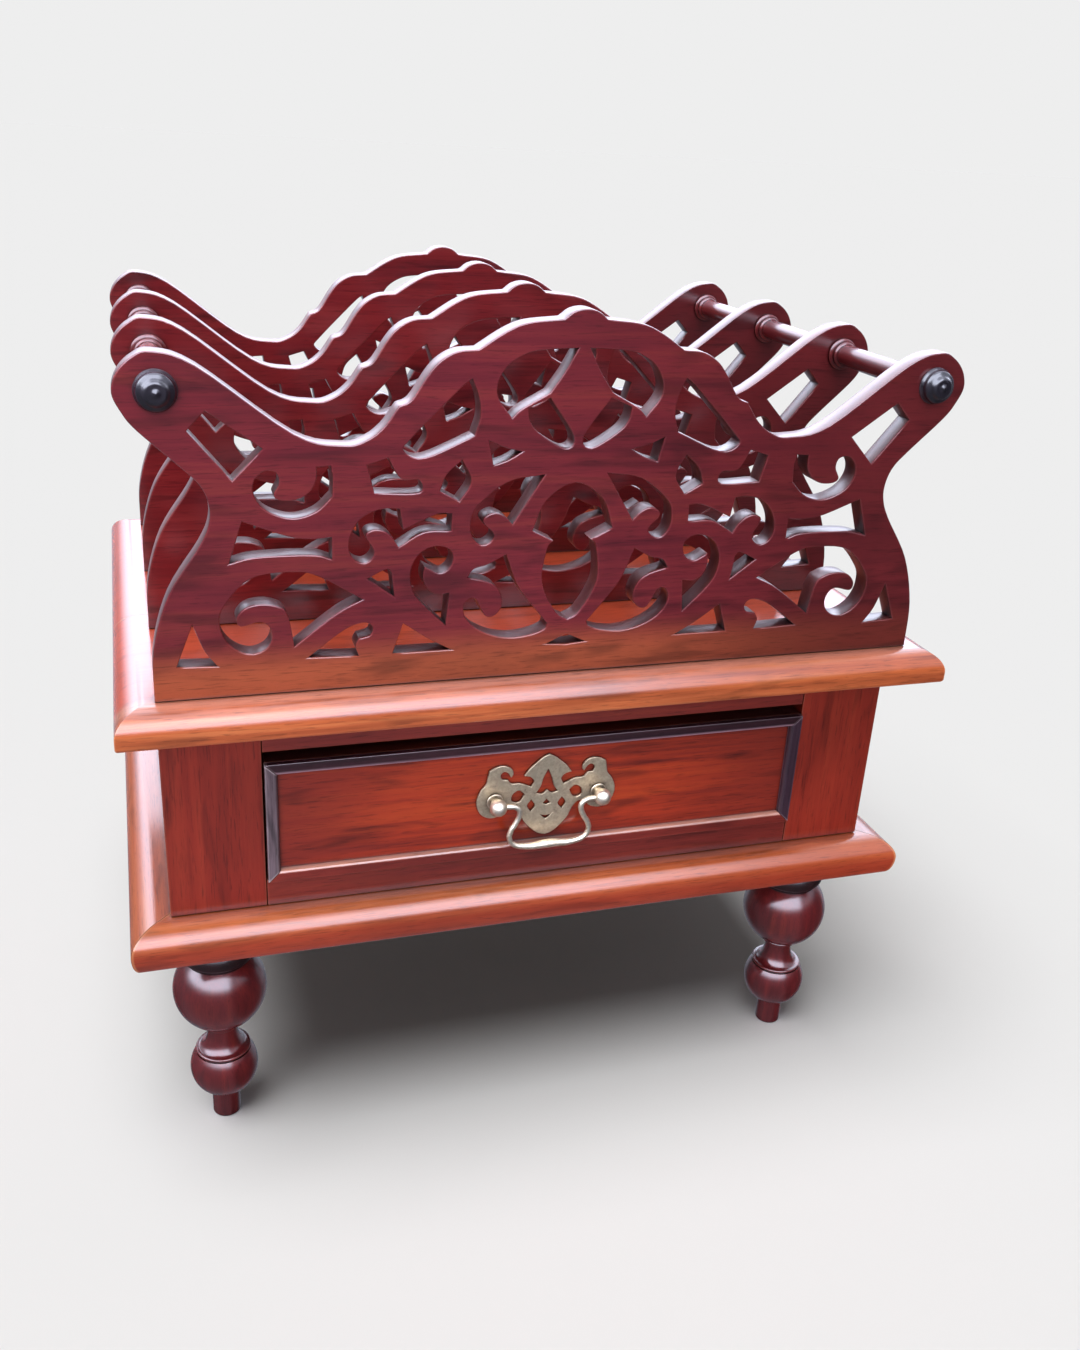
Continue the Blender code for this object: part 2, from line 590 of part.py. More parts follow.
def rail_tenon(low, high):
    """Depth and height of a rail's tenon, as (front, back, bottom, top)."""
    front = CASE_FRONT + (STILE_THICKNESS - RAIL_TENON_THICKNESS) / 2
    return front, front + RAIL_TENON_THICKNESS, low + RAIL_TENON_SHOULDER, high - RAIL_TENON_SHOULDER


def rail(low, high, depth):
    """A rail between the stiles with a stub tenon on each end."""
    shoulder = OPENING_HALF - GAP
    tip = OPENING_HALF + RAIL_TENON_LENGTH
    full = (CASE_FRONT, CASE_FRONT + depth, low, high)
    tenon = rail_tenon(low, high)
    rings = []
    for x, (y0, y1, z0, z1) in ((-tip, tenon), (-shoulder, tenon), (-shoulder, full),
                                (shoulder, full), (shoulder, tenon), (tip, tenon)):
        rings.append([(x, y0, z0), (x, y1, z0), (x, y1, z1), (x, y0, z1)])
    return loft(rings)


def stile_mortises(side, spans):
    bm = bmesh.new()
    for low, high in spans:
        front, back, bottom, top = rail_tenon(low, high)
        near = side * (OPENING_HALF - RAIL_TENON_LENGTH)
        far = side * (OPENING_HALF + RAIL_TENON_LENGTH + GAP)
        box((min(near, far), front - GAP, bottom - GAP), (max(near, far), back + GAP, top + GAP), bm)
    return bm


def build_case(stand):
    half = CASE_LENGTH / 2
    low = CASE_Z + GAP
    high = TOP_Z - GAP
    behind_stile = CASE_FRONT + STILE_THICKNESS
    spans = {"bottom": (low, OPENING_LOW), "top": (OPENING_HIGH, high)}
    for word, side in (("left", -1), ("right", 1)):
        edges = sorted((side * OPENING_HALF, side * half))
        stile = add_block(f"front_stile_{word}", (edges[0], CASE_FRONT, low), (edges[1], behind_stile, high),
                          "case", stand)
        cut(stile, stile_mortises(side, spans.values()))
    add_object("top_rail", rail(*spans["top"], STILE_THICKNESS), "case", stand)
    add_object("bottom_rail", rail(*spans["bottom"], BOTTOM_RAIL_DEPTH), "case", stand)
    add_pair("case_side", (half - SIDE_THICKNESS, behind_stile + GAP, low), (half, -CASE_FRONT, high),
             "case", stand)
    add_block("case_back", (-INSIDE_HALF, -CASE_FRONT - BACK_THICKNESS, low),
              (INSIDE_HALF, -CASE_FRONT, high), "case", stand)


def build_drawer_supports(stand):
    inner = INSIDE_HALF - RUNNER_WIDTH
    behind_rail = CASE_FRONT + BOTTOM_RAIL_DEPTH + GAP
    behind_stile = CASE_FRONT + STILE_THICKNESS + GAP
    add_pair("drawer_runner", (inner, behind_rail, CASE_Z + GAP), (INSIDE_HALF, INSIDE_BACK, OPENING_LOW),
             "inner", stand)
    add_pair("drawer_guide", (OPENING_HALF, behind_rail, OPENING_LOW + GAP),
             (INSIDE_HALF, INSIDE_BACK, OPENING_LOW + GAP + GUIDE_HEIGHT), "inner", stand)
    add_pair("drawer_kicker", (inner, behind_stile, OPENING_HIGH), (INSIDE_HALF, INSIDE_BACK, TOP_Z - GAP),
             "inner", stand)
    stop_x = (STOP_SPACING - STOP_LENGTH) / 2
    stop_front = CASE_FRONT + DRAWER_FRONT_THICKNESS + GAP
    add_pair("drawer_stop", (stop_x, stop_front, OPENING_LOW + GAP),
             (stop_x + STOP_LENGTH, stop_front + STOP_DEPTH, OPENING_LOW + GAP + STOP_HEIGHT), "inner", stand)


def foot_places():
    x = PLINTH_LENGTH / 2 - FOOT_INSET
    y = PLINTH_DEPTH / 2 - FOOT_INSET
    return {"front_left": (-x, -y), "front_right": (x, -y), "back_left": (-x, y), "back_right": (x, y)}


def build_plinth(stand):
    x = PLINTH_LENGTH / 2 - PLINTH_STRIP - GAP
    y = PLINTH_DEPTH / 2 - PLINTH_STRIP - GAP
    outline = [Vector(p) for p in ((-x, -y), (x, -y), (x, y), (-x, y))]
    holes = [circle(*place, DOWEL_RADIUS + GAP, FOOT_SIDES) for place in foot_places().values()]
    add_object("base_board", pierced_slab([outline] + holes, PLINTH_THICKNESS), "inner", stand,
               (0, 0, PLINTH_Z + PLINTH_THICKNESS / 2))
    profile = (moulded_edge(PLINTH_NOSE_RUN, PLINTH_THICKNESS, PLINTH_NOSE_LEVEL)
               + [(PLINTH_STRIP, PLINTH_THICKNESS), (PLINTH_STRIP, 0)])
    names = ["plinth_front", "plinth_right", "plinth_back", "plinth_left"]
    add_mitred_frame(names, PLINTH_LENGTH / 2, PLINTH_DEPTH / 2, profile, "moulding", stand,
                     (0, 0, PLINTH_Z), FLAT)


def foot_profile():
    """A turned foot from the top of its dowel down to the peg."""
    top = PLINTH_Z - GAP
    flange_low = PLINTH_Z - FLANGE_HEIGHT
    collar_top = flange_low - COVE_HEIGHT
    neck_top = NECK_RING_Z - NECK_RING_HEIGHT
    flare = (FLARE_RADIUS - NECK_RADIUS, neck_top - FLARE_Z)
    return ([(0, top + DOWEL_LENGTH), (DOWEL_RADIUS, top + DOWEL_LENGTH), (DOWEL_RADIUS, top),
             (FLANGE_RADIUS, top), (FLANGE_RADIUS, flange_low),
             (COVE_RADIUS, (flange_low + collar_top) / 2),
             (COLLAR_RADIUS, collar_top), (COLLAR_RADIUS, COLLAR_Z + COLLAR_SEAT_HEIGHT)]
            + ball(UPPER_BALL_RADIUS, UPPER_BALL_Z, COLLAR_SEAT_RADIUS, NECK_RING_RADIUS)
            + [(NECK_RING_RADIUS, neck_top)]
            + arc((FLARE_RADIUS, neck_top), flare, 180, 270, COVE_STEPS)[:-1]
            + ball(LOWER_BALL_RADIUS, LOWER_BALL_Z, FLARE_RADIUS, PEG_RADIUS)
            + [(PEG_RADIUS, 0), (0, 0)])


def build_feet(stand):
    for name, (x, y) in foot_places().items():
        foot = turned(foot_profile(), FOOT_SIDES)
        add_object(f"foot_{name}", foot, "turned", stand, (x, y, 0), smooth=True)


def drawer_front_cuts():
    """The groove for the bottom and the holes for the posts of the pull."""
    back = CASE_FRONT + DRAWER_FRONT_THICKNESS
    half = DRAWER_HALF - DRAWER_SIDE_THICKNESS + DRAWER_GROOVE
    bm = box((-half, back - DRAWER_GROOVE, DRAWER_BOTTOM_Z - GAP),
             (half, back + DRAWER_GROOVE, DRAWER_BOTTOM_Z + DRAWER_BOTTOM_THICKNESS + GAP))
    for side in (-1, 1):
        hole = circle(side * PULL_BORING / 2, PULL_Z, POST_STEM_RADIUS + GAP)
        loft([[(p.x, y, p.y) for p in hole] for y in (CASE_FRONT - GAP, back + GAP)], bm)
    return bm


def drawer_side(side):
    """A drawer side, grooved on its inner face for the bottom."""
    inner = DRAWER_HALF - DRAWER_SIDE_THICKNESS
    groove_low = DRAWER_BOTTOM_Z - GAP
    groove_high = DRAWER_BOTTOM_Z + DRAWER_BOTTOM_THICKNESS + GAP
    section = [(DRAWER_HALF, DRAWER_LOW), (DRAWER_HALF, DRAWER_HIGH), (inner, DRAWER_HIGH),
               (inner, groove_high), (inner + DRAWER_GROOVE, groove_high),
               (inner + DRAWER_GROOVE, groove_low), (inner, groove_low), (inner, DRAWER_LOW)]
    start = CASE_FRONT + DRAWER_FRONT_THICKNESS + GAP
    return loft([[(side * x, y, z) for x, z in section] for y in (start, DRAWER_END)])


def build_drawer(drawer):
    inner = DRAWER_HALF - DRAWER_SIDE_THICKNESS
    back_of_front = CASE_FRONT + DRAWER_FRONT_THICKNESS
    bottom_top = DRAWER_BOTTOM_Z + DRAWER_BOTTOM_THICKNESS
    front = add_block("drawer_front", (-DRAWER_HALF, CASE_FRONT, DRAWER_LOW),
                      (DRAWER_HALF, back_of_front, DRAWER_HIGH), "drawer_front", drawer)
    cut(front, drawer_front_cuts())
    for word, side in (("left", -1), ("right", 1)):
        add_object(f"drawer_side_{word}", drawer_side(side), "inner", drawer)
    add_block("drawer_back", (GAP - inner, DRAWER_END - DRAWER_BACK_THICKNESS, bottom_top + GAP),
              (inner - GAP, DRAWER_END, DRAWER_HIGH - DRAWER_BACK_DROP), "inner", drawer)
    edge = inner + DRAWER_GROOVE - GAP
    add_block("drawer_bottom", (-edge, back_of_front - DRAWER_GROOVE + GAP, DRAWER_BOTTOM_Z),
              (edge, DRAWER_END, bottom_top), "inner", drawer)
    quarter = arc((BEAD_FLAT, 0), (BEAD_WIDTH - BEAD_FLAT, BEAD_PROUD), 90, 0, MOULDING_STEPS)
    profile = [(0, 0), (0, BEAD_PROUD)] + quarter
    names = ["drawer_bead_bottom", "drawer_bead_right", "drawer_bead_top", "drawer_bead_left"]
    middle = (DRAWER_LOW + DRAWER_HIGH) / 2
    add_mitred_frame(names, DRAWER_HALF, (DRAWER_HIGH - DRAWER_LOW) / 2, profile, "case", drawer,
                     (0, CASE_FRONT - GAP, middle), UPRIGHT)


def post_profile():
    """A post from the front of its ball back to the end of its stem, from the plate's face."""
    nut_back = CASE_FRONT + DRAWER_FRONT_THICKNESS + GAP + NUT_THICKNESS
    stem_end = PLATE_FACE - GAP - nut_back - POST_STEM_PROUD
    return (ball(POST_BALL_RADIUS, PULL_STANDOFF - GAP, 0, POST_NECK_RADIUS)
            + [(POST_NECK_RADIUS, POST_FLANGE_HEIGHT), (POST_FLANGE_RADIUS, POST_FLANGE_HEIGHT),
               (POST_FLANGE_RADIUS, 0), (POST_STEM_RADIUS, 0), (POST_STEM_RADIUS, stem_end), (0, stem_end)])


def bail_bore(side):
    """The hole in a post's ball that the end of the bail turns in."""
    ring = circle(PULL_AXIS_Y, PULL_Z, BAIL_END_RADIUS + GAP)
    middle = side * PULL_BORING / 2
    mouth = middle - side * 2 * POST_BALL_RADIUS
    return loft([[(x, p.x, p.y) for p in ring] for x in (middle, mouth)])


def build_pull(drawer):
    scale = (PULL_SCALE, PULL_SCALE)
    loops = [curve(whole(PLATE_OUTLINE), True, scale)]
    loops += piercing_loops(PLATE_PIERCINGS, PLATE_MIDDLE_PIERCINGS, scale)
    loops += [circle(side * PULL_BORING / 2, 0, POST_STEM_RADIUS + GAP) for side in (-1, 1)]
    add_object("pull_plate", pierced_slab(loops, PLATE_THICKNESS), "brass", drawer,
               (0, PLATE_FACE + PLATE_THICKNESS / 2, PULL_Z), UPRIGHT)
    nut_y = CASE_FRONT + DRAWER_FRONT_THICKNESS + GAP + NUT_THICKNESS / 2
    half = NUT_WIDTH / 2
    square = [Vector(p) for p in ((-half, -half), (half, -half), (half, half), (-half, half))]
    for word, side in (("left", -1), ("right", 1)):
        x = side * PULL_BORING / 2
        post = add_object(f"pull_post_{word}", turned(post_profile(), SMALL_SIDES), "brass", drawer,
                          (x, PLATE_FACE - GAP, PULL_Z), UPRIGHT, smooth=True)
        cut(post, bail_bore(side))
        nut = pierced_slab([square, circle(0, 0, POST_STEM_RADIUS + GAP)], NUT_THICKNESS)
        add_object(f"pull_nut_{word}", nut, "brass", drawer, (x, nut_y, PULL_Z), UPRIGHT)


def bail_path():
    """The bail's middle line in X and Z, from the right post to the left."""
    half = PULL_BORING / 2
    fall = BAIL_DROP / DRAWING_BAIL_DROP
    arm = [(half - inward * PULL_SCALE, down * fall) for inward, down in BAIL_ARM]
    controls = arm + [(half - BAIL_BAR_START, -BAIL_DROP), (0, -BAIL_DROP)]
    return curve(controls + mirror(controls)[1:], False, (1, 1))


def bail_radius(x):
    """The wire is even down the arms and swells to the middle of the bar."""
    bar_end = PULL_BORING / 2 - BAIL_ARM[-1][0] * PULL_SCALE
    swell = math.cos(math.pi / 2 * min(1, abs(x) / bar_end)) ** 2
    return BAIL_END_RADIUS + (BAIL_MIDDLE_RADIUS - BAIL_END_RADIUS) * swell


def build_bail(pivot):
    path = bail_path()
    rings = []
    for i, spot in enumerate(path):
        along = (path[min(i + 1, len(path) - 1)] - path[max(i - 1, 0)]).normalized()
        across = Vector((-along.y, 0, along.x))
        middle = Vector((spot.x, 0, spot.y))
        section = circle(0, 0, bail_radius(spot.x))
        rings.append([middle + across * p.x + Vector((0, p.y, 0)) for p in section])
    add_object("pull_bail", loft(rings), "brass", pivot, pivot.location, smooth=True)


def main():
    clear_scene()
    stand = add_empty("stand_frame", (0, 0, 0))
    drawer = add_empty("drawer_frame", (0, CASE_FRONT, DRAWER_LOW))
    pivot = add_empty("bail_axis", (0, PULL_AXIS_Y, PULL_Z))
    build_fret_panels(stand)
    build_spindles(stand)
    build_top(stand)
    build_case(stand)
    build_drawer_supports(stand)
    build_plinth(stand)
    build_feet(stand)
    build_drawer(drawer)
    build_pull(drawer)
    build_bail(pivot)


main()
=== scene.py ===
# %% [markdown]
# # A mahogany magazine canterbury
# A canterbury is a low stand that keeps magazines or sheet music upright between fretted panels.
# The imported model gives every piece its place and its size, and this lesson gives it its looks.
# Sawn, turned and moulded pieces are made again with fine curves and stand for the plain solids.
# Flat boards keep their solids and only get softened edges and a finish.

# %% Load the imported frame
import json
import math

import bmesh
import bpy
from mathutils import Matrix, Quaternion, Vector


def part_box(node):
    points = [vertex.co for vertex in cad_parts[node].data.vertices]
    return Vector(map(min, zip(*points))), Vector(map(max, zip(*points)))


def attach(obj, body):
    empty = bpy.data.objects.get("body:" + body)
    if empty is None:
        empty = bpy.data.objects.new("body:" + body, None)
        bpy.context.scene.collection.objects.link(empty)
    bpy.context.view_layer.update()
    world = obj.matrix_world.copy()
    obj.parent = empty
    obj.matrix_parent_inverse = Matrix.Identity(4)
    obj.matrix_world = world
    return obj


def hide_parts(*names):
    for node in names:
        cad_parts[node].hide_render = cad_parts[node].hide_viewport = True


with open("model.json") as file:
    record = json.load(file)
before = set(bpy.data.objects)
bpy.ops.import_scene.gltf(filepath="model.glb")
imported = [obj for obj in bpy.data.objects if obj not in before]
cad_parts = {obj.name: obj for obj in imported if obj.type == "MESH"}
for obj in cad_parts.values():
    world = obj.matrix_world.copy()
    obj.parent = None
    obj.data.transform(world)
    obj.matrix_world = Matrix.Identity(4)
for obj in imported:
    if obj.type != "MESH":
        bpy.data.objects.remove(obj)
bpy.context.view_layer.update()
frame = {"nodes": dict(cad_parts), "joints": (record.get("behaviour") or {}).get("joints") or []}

MM = 0.001

# %% [markdown]
# ## Camera
# The photograph was taken by hand, from the left of the front, a little above the panels and less
# than a metre away, so the near corner looms and the feet lean together. A camera could be aimed at
# the middle of the object, but then its slight roll is lost, so place, turn, tilt and roll are given.

# %% Camera
FRAME_HEIGHT_PIXELS = 1350
FOCAL_LENGTH_PIXELS = 1258.7
EYE = Vector((-238.1, -833.1, 638.6)) * MM
TURN_RIGHT = math.radians(18.71)
TILT_DOWN = math.radians(23.46)
ROLL = math.radians(3.3)

gaze = Vector((math.sin(TURN_RIGHT) * math.cos(TILT_DOWN),
               math.cos(TURN_RIGHT) * math.cos(TILT_DOWN),
               -math.sin(TILT_DOWN)))
camera = bpy.data.objects.new("camera", bpy.data.cameras.new("camera"))
bpy.context.scene.collection.objects.link(camera)
camera.location = EYE
camera.rotation_euler = (gaze.to_track_quat("-Z", "Y") @ Quaternion((0, 0, 1), ROLL)).to_euler()
camera.data.lens = camera.data.sensor_width * FOCAL_LENGTH_PIXELS / FRAME_HEIGHT_PIXELS
bpy.context.scene.camera = camera
print(f"lens {camera.data.lens:.1f} mm")

# %% [markdown]
# ## Colours and nodes
# Colours are written as the sRGB hex values that a colour picker shows. Shaders work in linear light,
# so one function turns the one into the other. A second small function adds any shader node with its
# settings and its links, which keeps each material down to a list of what it is made of.

# %% Colour and node helpers
def linear(hex_colour):
    """Linear RGBA of an sRGB hex colour."""
    channels = [int(hex_colour[i:i + 2], 16) / 255 for i in (1, 3, 5)]
    return (*[c / 12.92 if c <= 0.04045 else ((c + 0.055) / 1.055) ** 2.4 for c in channels], 1.0)


def fill(tree, node, inputs):
    """Fill inputs of a node, each with a value or with a link from an output."""
    for name, value in inputs.items():
        if isinstance(value, bpy.types.NodeSocket):
            tree.links.new(value, node.inputs[name])
        else:
            node.inputs[name].default_value = value


def add_node(tree, kind, settings=None, inputs=None, stops=()):
    """Add a node: its properties, its inputs as values or as outputs to link, its colour stops."""
    made = tree.nodes.new("ShaderNode" + kind)
    for name, value in (settings or {}).items():
        setattr(made, name, value)
    fill(tree, made, inputs or {})
    for i, (place, colour) in enumerate(stops):
        stop = made.color_ramp.elements[i] if i < 2 else made.color_ramp.elements.new(place)
        stop.position = place
        stop.color = colour
    return made


print("mid grey is", round(linear("#808080")[0], 3), "in linear light")

# %% [markdown]
# ## Floor
# The object stands in an empty studio whose floor runs into the background without a line. A curved
# backdrop does that in a real studio. Here a very large flat floor does it, in a paint that comes out
# as pale as the sky behind it. It is kept out of the reflections, which are the sky's work.

# %% Floor
FLOOR_SIZE = 80.0
FLOOR_PAINT = linear("#e3e3e3")
SHADER = "Principled BSDF"

floor_mesh = bpy.data.meshes.new("floor")
floor_bm = bmesh.new()
bmesh.ops.create_grid(floor_bm, size=FLOOR_SIZE / 2)
floor_bm.to_mesh(floor_mesh)
floor_bm.free()
floor = bpy.data.objects.new("floor", floor_mesh)
bpy.context.scene.collection.objects.link(floor)
floor.visible_glossy = False
# Rolled matt paint scatters all its light, so the eye sees one even grey
paint = bpy.data.materials.new("matt_studio_paint")
paint.use_nodes = True
fill(paint.node_tree, paint.node_tree.nodes[SHADER], {
    "Base Color": FLOOR_PAINT, "Roughness": 1.0, "Specular IOR Level": 0.0})
floor_mesh.materials.append(paint)
print("floor", FLOOR_SIZE, "m wide")

# %% [markdown]
# ## Suns
# Lamps fall off with distance and would leave a line at the horizon, so the light is a very broad sun,
# even all over the floor and soft in its shadow. A second sun fills the front faces. Light linking keeps
# it off the floor, where the shadow stays deep. Neither sun shows in the polish.

# %% Suns
# Where each sun comes from, its strength, and its spread in degrees
SUNS = {"key_sun": ((-0.27, -0.19, 1.0), 3.28, 46), "front_fill": ((-0.25, -1.0, 0.25), 2.5, 50)}

for name, (comes_from, energy, spread) in SUNS.items():
    sun = bpy.data.objects.new(name, bpy.data.lights.new(name, "SUN"))
    bpy.context.scene.collection.objects.link(sun)
    sun.rotation_euler = Vector(comes_from).to_track_quat("Z", "Y").to_euler()
    sun.data.energy = energy
    sun.data.angle = math.radians(spread)
    sun.visible_glossy = False
flagged = bpy.data.collections.new("flagged_from_front_fill")
flagged.objects.link(floor)
flagged.collection_objects[0].light_linking.link_state = "EXCLUDE"
bpy.data.objects["front_fill"].light_linking.receiver_collection = flagged
print("suns:", ", ".join(SUNS))

# %% [markdown]
# ## The room in the polish
# Polished wood shows what is round it. Here that is bright high in front, dim near the ground and at the
# right, and half as bright behind, where the left is dim. So upward edges turn white and front faces
# stay deep. A room could be modelled for that, but a sky does it too: two halves with a brightness for
# each height, each dimmed towards one side.

# %% The room in the polish
SHINE = 13.0
# Share of the shine by height, which is -1 straight down and 1 straight up
SHINE_BEFORE = ((-1.0, 0.02), (0.1, 0.02), (0.24, 0.15), (0.42, 1.0), (0.84, 1.0), (0.96, 0.35))
SHINE_BEHIND = ((-0.5, 0.02), (-0.3, 0.05), (0.08, 0.06), (0.22, 0.27), (0.42, 0.62), (0.56, 0.52))
# Where along X each half begins to dim and where it is dimmest, and what share is left there
DIM_RIGHT = (0.25, 0.5, 0.15)
DIM_LEFT = (-0.22, -0.48, 0.25)
# Where along Y the half in front starts to blend into the half behind, and where that ends
BLEND_START = 0.1
BLEND_END = 0.5
SMOOTH = {"interpolation_type": "SMOOTHSTEP"}
PRODUCT = {"operation": "MULTIPLY"}
COLOUR_MIX = {"data_type": "RGBA"}
MULTIPLY = {"data_type": "RGBA", "blend_type": "MULTIPLY"}
# A mix node has a set of sockets for each kind of data; these are the numbers of those for colours
MIX_A = 6
MIX_B = 7
MIX_RESULT = 2

world = bpy.data.worlds.new("studio_sky")
bpy.context.scene.world = world
world.use_nodes = True
sky = world.node_tree
direction = add_node(sky, "TexCoord").outputs["Generated"]
look = add_node(sky, "SeparateXYZ", inputs={"Vector": direction}).outputs
height = add_node(sky, "MapRange", inputs={"Value": look["Z"], "From Min": -1.0, "From Max": 1.0})
halves = []
for shares, (start, end, dimmest) in ((SHINE_BEFORE, DIM_RIGHT), (SHINE_BEHIND, DIM_LEFT)):
    wall = add_node(sky, "ValToRGB", inputs={"Fac": height.outputs["Result"]}, stops=[
        ((z + 1) / 2, (share, share, share, 1.0)) for z, share in shares])
    dimmed = add_node(sky, "MapRange", SMOOTH, {
        "Value": look["X"], "From Min": start, "From Max": end, "To Min": 1.0, "To Max": dimmest})
    halves.append(add_node(sky, "Mix", MULTIPLY, {
        "Factor": 1.0, MIX_A: wall.outputs["Color"], MIX_B: dimmed.outputs["Result"]}).outputs[MIX_RESULT])
behind = add_node(sky, "MapRange", SMOOTH, {
    "Value": look["Y"], "From Min": BLEND_START, "From Max": BLEND_END})
shine = add_node(sky, "Mix", COLOUR_MIX, {
    "Factor": behind.outputs["Result"], MIX_A: halves[0], MIX_B: halves[1]})
mirrored_room = add_node(sky, "Math", PRODUCT, {0: shine.outputs[MIX_RESULT], 1: SHINE})
print("heights in front:", len(SHINE_BEFORE), "and behind:", len(SHINE_BEHIND))

# %% [markdown]
# ## Sky light
# One sky plays three parts: the eye sees a flat pale backdrop, polish and brass see the room above in a
# cool tint, and all else gets a weak even fill that lifts the shadows. Lamps could share the work, but
# the light path node already tells which kind of ray is asking.

# %% Sky light
BACKDROP = linear("#eeeeee")
SHINE_TINT = linear("#e4eaff")
NO_TINT = linear("#ffffff")
SKY_FILL = 0.12
NUMBER_MIX = {"data_type": "FLOAT"}
# The mix node's sockets for plain numbers
NUMBER_A = 2
NUMBER_B = 3
NUMBER_RESULT = 0

ray = add_node(sky, "LightPath").outputs
strength = add_node(sky, "Mix", NUMBER_MIX, {
    "Factor": ray["Is Glossy Ray"], NUMBER_A: SKY_FILL, NUMBER_B: mirrored_room.outputs["Value"]})
seen = add_node(sky, "Mix", NUMBER_MIX, {
    "Factor": ray["Is Camera Ray"], NUMBER_A: strength.outputs[NUMBER_RESULT], NUMBER_B: BACKDROP[0]})
tint = add_node(sky, "Mix", COLOUR_MIX, {"Factor": ray["Is Glossy Ray"], MIX_A: NO_TINT, MIX_B: SHINE_TINT})
fill(sky, sky.nodes["Background"], {
    "Strength": seen.outputs[NUMBER_RESULT], "Color": tint.outputs[MIX_RESULT]})
bpy.context.scene.view_settings.view_transform = "Standard"
print("backdrop", round(BACKDROP[0], 3), "and fill", SKY_FILL)

# %% [markdown]
# ## Grain
# All the show wood is mahogany: a soft ribbon across straight streaks, short dark pores, smoky smears
# and cloudy patches. A picture of wood could be wrapped round each piece, but its grain would run
# wrong on sawn and turned edges. Noise in the object's own space, drawn out along the grain, is cut
# through by every edge as real timber is.

# %% Grain
GRAIN_TURN = {"X": (0, 0, 0), "Y": (0, 0, math.pi / 2), "Z": (0, math.pi / 2, 0)}
# Length and width of each mark in millimetres, and its detail. Pores are a quarter of a millimetre wide
# on the real wood, and are drawn coarser here so that they show.
MAHOGANY_MARKS = {"ribbon": (420, 26, 4), "streak": (190, 5, 4), "pore": (16, 0.9, 4), "smoke": (75, 12, 2),
                  "cloud": (150, 90, 4)}


def new_finish(name):
    """A new material, its node tree, and the place of each point in the object's own space."""
    material = bpy.data.materials.new(name)
    material.use_nodes = True
    tree = material.node_tree
    return material, tree, add_node(tree, "TexCoord").outputs["Object"]


def grain_marks(tree, here, grain, sizes, ragged, wander):
    """Each mark of a timber, drawn out along an axis of the frame, with ragged and wandering edges."""
    marks = {}
    for mark, (length, width, detail) in sizes.items():
        at = add_node(tree, "Mapping", {"vector_type": "TEXTURE"}, {
            "Vector": here, "Rotation": GRAIN_TURN[grain], "Scale": (length * MM, width * MM, width * MM)})
        marks[mark] = add_node(tree, "TexNoise", inputs={
            "Vector": at.outputs["Vector"], "Scale": 1.0, "Detail": detail, "Roughness": ragged,
            "Distortion": wander}).outputs["Fac"]
    return marks


print("marks of mahogany:", ", ".join(MAHOGANY_MARKS))

# %% [markdown]
# ## Age
# Daylight and handling have changed the wood from place to place: stretches have gone pale or red, wax
# blackens corners, and dusting has rubbed the polish off arrises. Some fades paint bounce light, reflection
# and shade instead, and recesses are darkened as painted shade. It could be painted by hand. Instead a
# tint fades along an axis, and ambient occlusion finds the rest: outside the surface it finds corners and
# recesses, and inside it finds thin arrises.

# %% Age
FADE_SHARE = 0.85
OCCLUSION_SAMPLES = 6
# How far occlusion looks for recesses to darken as painted shade
SHADE_REACH = 22 * MM
WAX_REACH = 3 * MM
# How much painted shade darkens a recess, and how much wax darkens a corner
SHADE_AND_WAX = {SHADE_REACH: 0.65, WAX_REACH: 0.6}
# Occlusion of a full corner and of none, then of none and of a full arris
SHADE_AND_WAX_RANGE = (0.25, 0.85)
ARRIS_RANGE = (0.85, 0.45)
WEAR_REACH = 1.3 * MM


def faded(tree, here, colour, fades):
    """A colour with fades, each (axis, place of its full tint, place of none, tint)."""
    for axis, full, none, tint in fades:
        along = add_node(tree, "SeparateXYZ", inputs={"Vector": here}).outputs[axis]
        near = add_node(tree, "MapRange", SMOOTH, {
            "Value": along, "From Min": none, "From Max": full, "To Max": FADE_SHARE})
        colour = add_node(tree, "Mix", COLOUR_MIX, {
            "Factor": near.outputs["Result"], MIX_A: colour, MIX_B: linear(tint)}).outputs[MIX_RESULT]
    return colour


def shaded(tree, colour, shades):
    """A colour under shades, each (what is measured, from, to, brightness at from, brightness at to)."""
    for measured, start, end, low, high in shades:
        shade = add_node(tree, "MapRange", inputs={
            "Value": measured, "From Min": start, "From Max": end, "To Min": low, "To Max": high})
        colour = add_node(tree, "Mix", MULTIPLY, {
            "Factor": 1.0, MIX_A: colour, MIX_B: shade.outputs["Result"]}).outputs[MIX_RESULT]
    return colour


def rubbed(tree, colour, patches, worn, wear):
    """A colour whose arrises show worn wood in patches, which are half there on the average."""
    depth = add_node(tree, "AmbientOcclusion", {
        "samples": OCCLUSION_SAMPLES, "inside": True, "only_local": True}, {"Distance": WEAR_REACH})
    arris = add_node(tree, "MapRange", inputs={
        "Value": depth.outputs["AO"], "From Min": ARRIS_RANGE[0], "From Max": ARRIS_RANGE[1],
        "To Max": 2 * wear})
    share = add_node(tree, "Math", PRODUCT, {0: arris.outputs["Result"], 1: patches})
    return add_node(tree, "Mix", COLOUR_MIX, {
        "Factor": share.outputs["Value"], MIX_A: colour, MIX_B: linear(worn)}).outputs[MIX_RESULT]


print("painted shade and wax reach", ", ".join(f"{reach / MM:.0f} mm" for reach in SHADE_AND_WAX))

# %% [markdown]
# ## French-polished mahogany
# The polish is many thin coats of shellac, rubbed on with a pad until the pores are nearly full. Wood and
# polish could share one gloss, but then the figure greys under every reflection. So the shine is all in a
# clear coat over matt wood: faces that mirror the dim room stay deep, the others turn white.

# %% French-polished mahogany
SHELLAC_IOR = 1.52
BARE_WOOD_ROUGHNESS = 0.5
BARE_WOOD_SPECULAR = 0.15
PORE_RELIEF = 0.1
PORE_DEPTH = 0.3 * MM
STREAK_SHARE = 0.5
